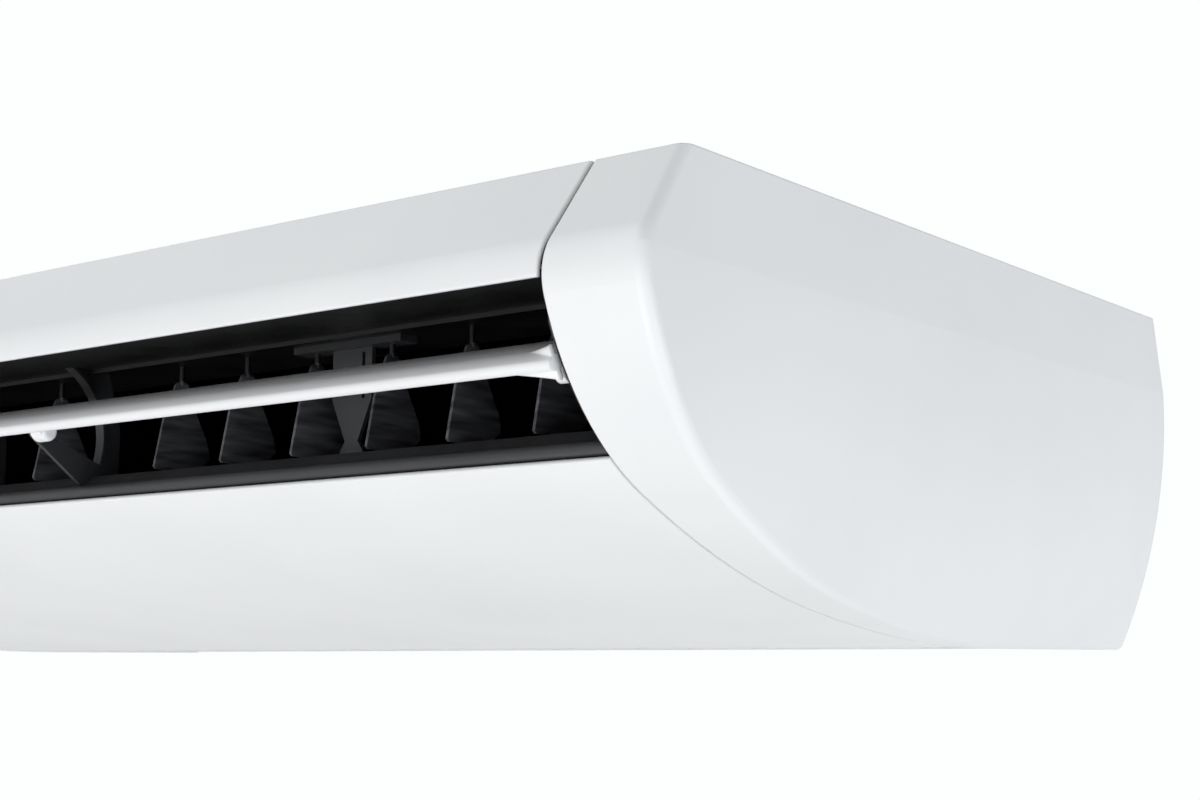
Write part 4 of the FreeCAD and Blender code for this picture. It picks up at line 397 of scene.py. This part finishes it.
def galvanised(name, first, second):
    """Zinc-coated sheet with its spangle of crystals."""
    material, tree, shader, place = start_material(name, ZINC_GLOSS[0], metallic=1.0)
    crystals = add(tree, "TexVoronoi", {"Vector": place, "Scale": scale_of(SPANGLE_MM), "Randomness": 1.0})
    tone = add(tree, "SeparateColor", {"Color": crystals.outputs["Color"]}).outputs["Red"]
    ripple = add(tree, "TexNoise", {"Vector": place, "Scale": scale_of(ZINC_RIPPLE_MM)}).outputs["Fac"]
    tree.links.new(two_tones(tree, tone, first, second), shader.inputs["Base Color"])
    uneven_gloss(tree, shader, tone, ZINC_GLOSS)
    relief(tree, shader, ripple, ZINC_DEPTH_MM, ZINC_STRENGTH)
    print("galvanised:", name)
    return material


# Galvanised sheet of the chassis: a pale, blurred mirror, broken into crystals.
MATERIALS["galvanised_sheet"] = galvanised("galvanised_steel_sheet", "B4B9BB", "C3C7C9")

# %% [markdown]
# ## Bare metals
# Fins, pipes, shaft and the small motors' cans show as metal. What tells them apart, besides the
# colour, is how they were shaped: a drawn pipe has marks along it, a ground shaft has rings round it. One
# noise, stretched along or across the piece, gives either, and a finer one gives the relief.

# %% Metal finish
MARK_DETAIL = 4.0
FINE_SHARE = 12
MARK_DEPTH_MM = 0.01
MARK_STRENGTH = 0.2


def metal(name, first, second, gloss, size_mm=9.0, stretch=(1.0, 1.0, 1.0)):
    """Bare metal with drawn or turned marks along its stretch."""
    material, tree, shader, place = start_material(name, gloss[0], metallic=1.0)
    drawn = add(tree, "Mapping", {"Vector": place, "Scale": stretch}).outputs["Vector"]
    broad = {"Vector": drawn, "Scale": scale_of(size_mm), "Detail": MARK_DETAIL}
    marks = add(tree, "TexNoise", broad).outputs["Fac"]
    fine = add(tree, "TexNoise", {"Vector": drawn, "Scale": scale_of(size_mm / FINE_SHARE)}).outputs["Fac"]
    tree.links.new(two_tones(tree, marks, first, second), shader.inputs["Base Color"])
    uneven_gloss(tree, shader, marks, gloss)
    relief(tree, shader, fine, MARK_DEPTH_MM, MARK_STRENGTH)
    print("metal:", name)
    return material


# Aluminium fins coloured nearly black as painted shade, so that the outlet stays dark behind the vanes; a
# dull sheen runs along the fin.
MATERIALS["coil_aluminium"] = metal(
    "fin_aluminium_shade_black", "1A1C1F", "24272A", (0.4, 0.55), size_mm=6.0, stretch=(1.0, 0.2, 1.0))

# Drawn copper of coil and pipes: warm and fairly bright, with marks along the tube.
MATERIALS["copper_pipe"] = metal(
    "drawn_copper", "B8734A", "D08C62", (0.24, 0.42), size_mm=7.0, stretch=(0.3, 1.0, 1.0))

# Zinc plating on the small motors' cans and the screws: pale, with small clear highlights.
MATERIALS["step_motor_can"] = metal("zinc_plated_steel", "B9BDBF", "D3D6D7", (0.26, 0.38))

# Ground steel of the fan shaft: bright, with fine rings from the grinding wheel.
MATERIALS["shaft_steel"] = metal(
    "ground_steel", "A7AAAD", "C6C9CB", (0.2, 0.32), size_mm=2.0, stretch=(4.0, 0.2, 0.2))

# %% [markdown]
# ## Filter net and foam
# The filters behind the grilles are nets of nylon thread, and the drain pan is foamed from beads. Threads
# could be modelled one by one, but thousands of them would cost more than they show, so two sets of waves
# cross in the material. The beads are Voronoi cells, whose distance from the middle rounds each one.

# %% Net and foam finishes
# One wave of Blender's wave pattern is this long, in metres, at a scale of 1.
WAVE_LENGTH = 0.314
NET_ROUGH = 0.75
NET_DEPTH_MM = 0.3
NET_STRENGTH = 0.8
FOAM_ROUGH = 0.8
FOAM_DRIFT_MM = 30.0
FOAM_DEPTH_MM = 0.25
FOAM_STRENGTH = 0.5


def woven(name, first, second, pitch_mm):
    """A net of crossing threads."""
    material, tree, shader, place = start_material(name, NET_ROUGH)
    even = {"Vector": place, "Scale": WAVE_LENGTH / (pitch_mm * MM)}
    warp, weft = [add(tree, "TexWave", even, wave_type="BANDS", bands_direction=way) for way in "XY"]
    both = {0: warp.outputs["Fac"], 1: weft.outputs["Fac"]}
    threads = add(tree, "Math", both, operation="MAXIMUM").outputs["Value"]
    tree.links.new(two_tones(tree, threads, first, second), shader.inputs["Base Color"])
    relief(tree, shader, threads, NET_DEPTH_MM, NET_STRENGTH)
    print("woven:", name)
    return material


def foamed(name, first, second, bead_mm):
    """Expanded beads pressed together."""
    material, tree, shader, place = start_material(name, FOAM_ROUGH)
    beads = add(tree, "TexVoronoi", {"Vector": place, "Scale": scale_of(bead_mm)}).outputs["Distance"]
    tone = add(tree, "TexNoise", {"Vector": place, "Scale": scale_of(FOAM_DRIFT_MM)}).outputs["Fac"]
    tree.links.new(two_tones(tree, tone, first, second), shader.inputs["Base Color"])
    relief(tree, shader, beads, FOAM_DEPTH_MM, FOAM_STRENGTH)
    print("foamed:", name)
    return material


# Black nylon net: matt threads over dark gaps. Real threads lie closer, and are drawn at 2.8 mm to show.
MATERIALS["filter_net"] = woven("black_nylon_net", "17191B", "3B3E42", pitch_mm=2.8)

# Expanded polystyrene of the drain pan: matt off-white with the outlines of its beads.
MATERIALS["pan_plastic"] = foamed("expanded_polystyrene", "D5D8D8", "E2E4E4", bead_mm=3.2)

# %% [markdown]
# ## Dressing the pieces
# The CAD record says which material slot each piece has, so the pieces could be dressed one by one or, as
# here, by that list. Posts and stays share the vanes' slot, but in the picture they are even and without
# streaks, so they get the plain charcoal.

# %% Dress the pieces
PLAIN_PIECES = ("vane_post", "louver_stay")

for row in frame["record"]["subparts"]:
    piece = nodes[row["node"]]
    plain = row["node"].startswith(PLAIN_PIECES)
    piece.data.materials.clear()
    piece.data.materials.append(PLAIN_CHARCOAL if plain else MATERIALS[row["material_slot"]])

# %% [markdown]
# ## Copies on points
# Fins and screws are one shape repeated. A loop could copy objects, but each copy would be a piece of its
# own to keep track of. Geometry Nodes do it in one tree: they put a copy on every point, turn it to the
# point's facing, make the copies real geometry and give them a material. The result is then turned into a
# plain mesh, because the finished pieces carry no modifiers.

# %% Tree for copies
TREE_SOCKETS = (
    ("Points", "INPUT", "NodeSocketGeometry"),
    ("Copy", "INPUT", "NodeSocketObject"),
    ("Material", "INPUT", "NodeSocketMaterial"),
    ("Geometry", "OUTPUT", "NodeSocketGeometry"),
)


def copies_group():
    """A tree that puts copies of an object on points, turned to each point's facing."""
    tree = bpy.data.node_groups.new("copies_on_points", "GeometryNodeTree")
    for name, way, kind in TREE_SOCKETS:
        tree.interface.new_socket(name, in_out=way, socket_type=kind)
    given = tree.nodes.new("NodeGroupInput")
    result = tree.nodes.new("NodeGroupOutput")
    source = tree.nodes.new("GeometryNodeObjectInfo")
    facing = tree.nodes.new("GeometryNodeInputNamedAttribute")
    facing.data_type = "FLOAT_VECTOR"
    facing.inputs["Name"].default_value = "facing"
    turn = tree.nodes.new("FunctionNodeAlignRotationToVector")
    turn.axis = "Z"
    place = tree.nodes.new("GeometryNodeInstanceOnPoints")
    real = tree.nodes.new("GeometryNodeRealizeInstances")
    paint = tree.nodes.new("GeometryNodeSetMaterial")
    for start, end in (
        (given.outputs["Copy"], source.inputs["Object"]),
        (facing.outputs["Attribute"], turn.inputs["Vector"]),
        (given.outputs["Points"], place.inputs["Points"]),
        (source.outputs["Geometry"], place.inputs["Instance"]),
        (turn.outputs["Rotation"], place.inputs["Rotation"]),
        (place.outputs["Instances"], real.inputs["Geometry"]),
        (real.outputs["Geometry"], paint.inputs["Geometry"]),
        (given.outputs["Material"], paint.inputs["Material"]),
        (paint.outputs["Geometry"], result.inputs["Geometry"]),
    ):
        tree.links.new(start, end)
    return tree


COPIES = copies_group()
print("tree for copies:", len(COPIES.nodes), "nodes")

# %% Use of the tree


def mesh_object(name, verts, faces):
    """A mesh from points and faces, as an object in the scene."""
    mesh = bpy.data.meshes.new(name)
    mesh.from_pydata(verts, [], faces)
    piece = bpy.data.objects.new(name, mesh)
    scene.collection.objects.link(piece)
    return piece


def settle(piece):
    """Put the result of a piece's modifiers into its mesh and take the modifiers off."""
    bpy.context.view_layer.update()
    result = piece.evaluated_get(bpy.context.evaluated_depsgraph_get())
    made = bpy.data.meshes.new_from_object(result)
    piece.modifiers.clear()
    piece.data = made


def copies(name, original, spots, slot, body="casing"):
    """Copies of a mesh on (place, facing) spots, as one plain mesh that rides on a body."""
    piece = mesh_object(name, [place for place, way in spots], [])
    facing = piece.data.attributes.new("facing", "FLOAT_VECTOR", "POINT")
    for item, (place, way) in zip(facing.data, spots):
        item.vector = way
    step = piece.modifiers.new("copies", "NODES")
    step.node_group = COPIES
    ports = {item.name: item.identifier for item in COPIES.interface.items_tree if item.in_out == "INPUT"}
    step[ports["Copy"]] = original
    step[ports["Material"]] = MATERIALS[slot]
    settle(piece)
    bpy.data.objects.remove(original)
    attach(piece, body)
    print(name, "-", len(spots), "copies")
    return piece


# %% [markdown]
# ## Fins of the coil
# The coil carries hundreds of thin aluminium plates, pressed in waves so that the air tumbles as it passes.
# In the CAD model they are one block, which is enough to fit the coil in. Fins could be drawn on the block
# as stripes, but stripes cast no shadow between each other. So one waved fin is made and copied along the
# coil, and the stack takes the block's place. The block leans, so its height and depth are worked out from
# the box round it. The plates are a little thicker than real foil, so that they show.

# %% One waved fin
COIL_LEAN = math.radians(39.5)
FIN_WALL = 0.3 * MM
FIN_WAVE = 0.45 * MM
FIN_FOLDS = 10
FIN_CORNERS = 4


def leaning_sides(size):
    """Height and depth of a leaning block, from the sides of the box round it."""
    c, s = math.cos(COIL_LEAN), math.sin(COIL_LEAN)
    share = c * c - s * s
    return (size.y * c - size.z * s) / share, (size.z * c - size.y * s) / share


def waved_fin(tall, deep):
    """One plate with a fold after each step of its depth, leaning as the coil does."""
    c, s = math.cos(COIL_LEAN), math.sin(COIL_LEAN)
    rings = []
    for fold in range(FIN_FOLDS + 1):
        through = deep * (fold / FIN_FOLDS - 0.5)
        wave = FIN_WAVE * (-1) ** fold
        walls = (wave - FIN_WALL / 2, wave + FIN_WALL / 2)
        rings += [(u, through, wall) for u in (-tall / 2, tall / 2) for wall in walls]
    verts = [(-(u * s + v * c), u * c - v * s, w) for u, v, w in rings]
    last = FIN_CORNERS * FIN_FOLDS
    faces = [(0, 1, 3, 2), tuple(last + k for k in (0, 2, 3, 1))]
    for k in range(0, last, FIN_CORNERS):
        for a, b in ((0, 2), (2, 3), (3, 1), (1, 0)):
            faces.append((k + a, k + b, k + FIN_CORNERS + b, k + FIN_CORNERS + a))
    return mesh_object("fin", verts, faces)


# %% Stack of fins
FIN_PITCH = 2.1 * MM
ALONG_THE_UNIT = (1.0, 0.0, 0.0)


def coil_fins():
    """The stack of fins, in place of the CAD model's block."""
    low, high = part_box("coil_fins")
    middle, size = (low + high) / 2, high - low
    fin = waved_fin(*leaning_sides(size))
    count = int(size.x / FIN_PITCH)
    edge = low.x + (size.x - (count - 1) * FIN_PITCH) / 2
    spots = [((edge + k * FIN_PITCH, middle.y, middle.z), ALONG_THE_UNIT) for k in range(count)]
    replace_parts(copies("coil_fin_stack", fin, spots, "coil_aluminium"), "coil_fins")


coil_fins()

# %% [markdown]
# ## Lower front panel
# On the real unit this panel is one clean sweep from the outlet to the intakes. In the CAD mesh the lip
# behind its upper edge comes through the skin as a thin ridge. The whole mesh could be smoothed, but that
# would soften its edges and change its size. So a copy is merged, because a CAD mesh is loose triangles,
# and only the two ends of the ridge are moved to the middle of its base, which lays it flush.

# %% Skin of the lower panel
WELD = 0.01 * MM
LIP_INSET = 2 * MM
LIP_BAND = 8 * MM
SKIN_SHARP = math.radians(25.0)


def lay_ridge_flush(shape, high):
    """Move the ends of the lip's ridge to the middle of its base; the number moved."""
    lip = [v for v in shape.verts if abs(v.co.x) < high.x - LIP_INSET and v.co.z > high.z - LIP_BAND]
    foot = min(v.co.z for v in lip)
    face = min(v.co.y for v in lip)
    low = [v for v in lip if v.co.z - foot < WELD]
    fore = [v for v in lip if v.co.y - face < WELD]
    ridge = [v for v in low if v in fore]
    base_y = min(v.co.y for v in low if v not in ridge)
    base_z = max(v.co.z for v in fore)
    for corner in ridge:
        corner.co.y = (face + base_y) / 2
        corner.co.z = (foot + base_z) / 2
    return len(ridge)


def smooth_skin(shape, name):
    """A mesh from the shape, smooth but for its real edges."""
    for flat in shape.faces:
        flat.smooth = True
    mesh = bpy.data.meshes.new(name)
    shape.to_mesh(mesh)
    shape.free()
    if "custom_normal" in mesh.attributes:
        mesh.attributes.remove(mesh.attributes["custom_normal"])
    mesh.set_sharp_from_angle(angle=SKIN_SHARP)
    return mesh


def flush_panel():
    """A copy of the lower front panel without its ridge, in place of the CAD piece."""
    shape = bmesh.new()
    shape.from_mesh(nodes["lower_front_panel"].data)
    bmesh.ops.remove_doubles(shape, verts=shape.verts[:], dist=WELD)
    moved = lay_ridge_flush(shape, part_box("lower_front_panel")[1])
    bmesh.ops.dissolve_degenerate(shape, dist=WELD, edges=shape.edges[:])
    mesh = smooth_skin(shape, "lower_panel_sweep")
    mesh.materials.append(MATERIALS["white_abs"])
    panel = bpy.data.objects.new("lower_panel_sweep", mesh)
    scene.collection.objects.link(panel)
    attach(panel, "casing")
    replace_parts(panel, "lower_front_panel")
    print("ridge corners laid flush:", moved)


flush_panel()

# %% [markdown]
# ## A screw head
# Pan-head screws with a cross recess hold the sheet metal together. Only the head shows, so only the head
# is made. Its dome could be a squashed ball, but a real pan head is fuller at the rim, so rings follow a
# curve that stays wide and then closes. Two bars cut the cross with Boolean modifiers.

# %% Screw head
HEAD_RADIUS = 3.4 * MM
HEAD_RISE = 1.9 * MM
HEAD_SIDES = 24
HEAD_RINGS = 5
HEAD_FULLNESS = 0.6
CROSS_REACH = 2.1 * MM
CROSS_HALF = 0.45 * MM
CROSS_DEPTH = 1.1 * MM
BAR_FACES = [(3, 2, 1, 0), (4, 5, 6, 7), (0, 1, 5, 4), (1, 2, 6, 5), (2, 3, 7, 6), (3, 0, 4, 7)]


def domed_head():
    """A pan head that sits on the XY plane."""
    shape = bmesh.new()
    around = [2 * math.pi * k / HEAD_SIDES for k in range(HEAD_SIDES)]
    rings = []
    for step in range(HEAD_RINGS):
        turn = step / HEAD_RINGS * math.pi / 2
        radius = HEAD_RADIUS * math.cos(turn) ** HEAD_FULLNESS
        rise = HEAD_RISE * math.sin(turn)
        rings.append([shape.verts.new((radius * math.cos(a), radius * math.sin(a), rise)) for a in around])
    for lower, upper in zip(rings, rings[1:]):
        for k in range(HEAD_SIDES):
            n = (k + 1) % HEAD_SIDES
            shape.faces.new((lower[k], lower[n], upper[n], upper[k]))
    shape.faces.new(rings[-1])
    shape.faces.new(rings[0][::-1])
    mesh = bpy.data.meshes.new("head")
    shape.to_mesh(mesh)
    shape.free()
    head = bpy.data.objects.new("head", mesh)
    scene.collection.objects.link(head)
    return head


def cross_bar(reach, half):
    """A bar that cuts one stroke of the cross."""
    plan = ((-reach, -half), (reach, -half), (reach, half), (-reach, half))
    ends = (HEAD_RISE - CROSS_DEPTH, HEAD_RISE * 2)
    return mesh_object("arm", [(x, y, z) for z in ends for x, y in plan], BAR_FACES)


def screw_head():
    """A pan head with a cross cut into its top."""
    head = domed_head()
    bars = [cross_bar(CROSS_REACH, CROSS_HALF), cross_bar(CROSS_HALF, CROSS_REACH)]
    for bar in bars:
        cut = head.modifiers.new("cross", "BOOLEAN")
        cut.operation = "DIFFERENCE"
        cut.object = bar
    settle(head)
    for bar in bars:
        bpy.data.objects.remove(bar)
    return head


# %% [markdown]
# ## Rows of screws
# Screws stand where sheets overlap: along the top and bottom of the rear panel, on the webs of the hanger
# brackets and in the corners of the control box. Their places could be typed in one by one, but then they
# would stay behind when a size changes. So every row is spread between the edges of its own piece.

# %% Screws
EDGE = 7 * MM
REAR_COUNT = 6
REAR_INSET = 28 * MM
HANGER_COUNT = 4
HANGER_INSET = 21 * MM
HANGER_RISE = 14 * MM
HANGER_GAUGE = 2.5 * MM
BACKWARDS = (0.0, 1.0, 0.0)
DOWNWARDS = (0.0, 0.0, -1.0)


def spread(low, high, count):
    """Evenly spaced places from one end to the other."""
    return [low + (high - low) * k / (count - 1) for k in range(count)]


def rear_screws():
    """Two rows on the rear panel."""
    low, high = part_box("rear_panel")
    row = spread(low.x + REAR_INSET, high.x - REAR_INSET, REAR_COUNT)
    spots = [((x, high.y, z), BACKWARDS) for z in (low.z + EDGE, high.z - EDGE) for x in row]
    copies("rear_panel_screws", screw_head(), spots, "step_motor_can")


def hanger_screws():
    """A row on the web of each hanger bracket, which lies on the end plate."""
    spots = []
    for side, word in ((1.0, "right"), (-1.0, "left")):
        low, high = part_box(f"hanger_bracket_{word}")
        plate_low, plate_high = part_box(f"end_plate_{word}")
        web = plate_high.x + HANGER_GAUGE if side > 0 else plate_low.x - HANGER_GAUGE
        row = spread(low.y + HANGER_INSET, high.y - HANGER_INSET, HANGER_COUNT)
        spots += [((web, y, low.z + HANGER_RISE), (side, 0.0, 0.0)) for y in row]
    copies("hanger_screws", screw_head(), spots, "step_motor_can")


def cover_screws():
    """One in each corner of the control box's cover."""
    low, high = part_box("control_box_cover")
    corners = [(x, y) for x in (low.x + EDGE, high.x - EDGE) for y in (low.y + EDGE, high.y - EDGE)]
    spots = [((x, y, low.z), DOWNWARDS) for x, y in corners]
    copies("control_box_screws", screw_head(), spots, "step_motor_can")


rear_screws()
hanger_screws()
cover_screws()

# %% [markdown]
# ## Floor
# The unit hangs in the air, as under a ceiling, over a floor of pale plaster. The floor lies deep, so that
# a camera below the unit can look at the intakes. It could be lit by a lamp of its own, but that would also
# reach the unit. So a little glow that only the camera sees keeps the floor pale where the lamps, which face
# the unit, don't reach.

# %% Pale floor
FLOOR_DROP = 4500 * MM
FLOOR_SIZE = 17.3
FLOOR_LIFT = 0.4

half = FLOOR_SIZE / 2
corners = [(x, y, -FLOOR_DROP) for x, y in ((-half, -half), (half, -half), (half, half), (-half, half))]
floor = mesh_object("floor", corners, [(0, 1, 2, 3)])

# Plaster: matt and nearly white, with a grain that is coarser than plastic's.
pale = moulded("pale_floor", "F0F0EE", "F4F4F2", (0.7, 0.8), grain_mm=2.0, depth_mm=0.05)
plaster = pale.node_tree
seen = add(plaster, "LightPath", {}).outputs["Is Camera Ray"]
lift = add(plaster, "Math", {0: seen, 1: FLOOR_LIFT}, operation="MULTIPLY").outputs["Value"]
plaster.links.new(lift, plaster.nodes["Principled BSDF"].inputs["Emission Strength"])
floor.data.materials.append(pale)
floor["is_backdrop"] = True
print("floor:", FLOOR_SIZE, "m wide,", FLOOR_DROP, "m below the top of the unit")

# %% [markdown]
# ## Size after dressing
# The looks must not change the size of the unit. The box of the CAD model was kept at the start, and how far
# the dressed model reaches past it is printed. Only the screw heads stand out, by less than 2 mm.

# %% Print how far the dressed model grows
grown = [round((new - old) / MM, 1) for old, new in zip(cad_box[1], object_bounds()[1])]
print("past the CAD box, mm:", grown)
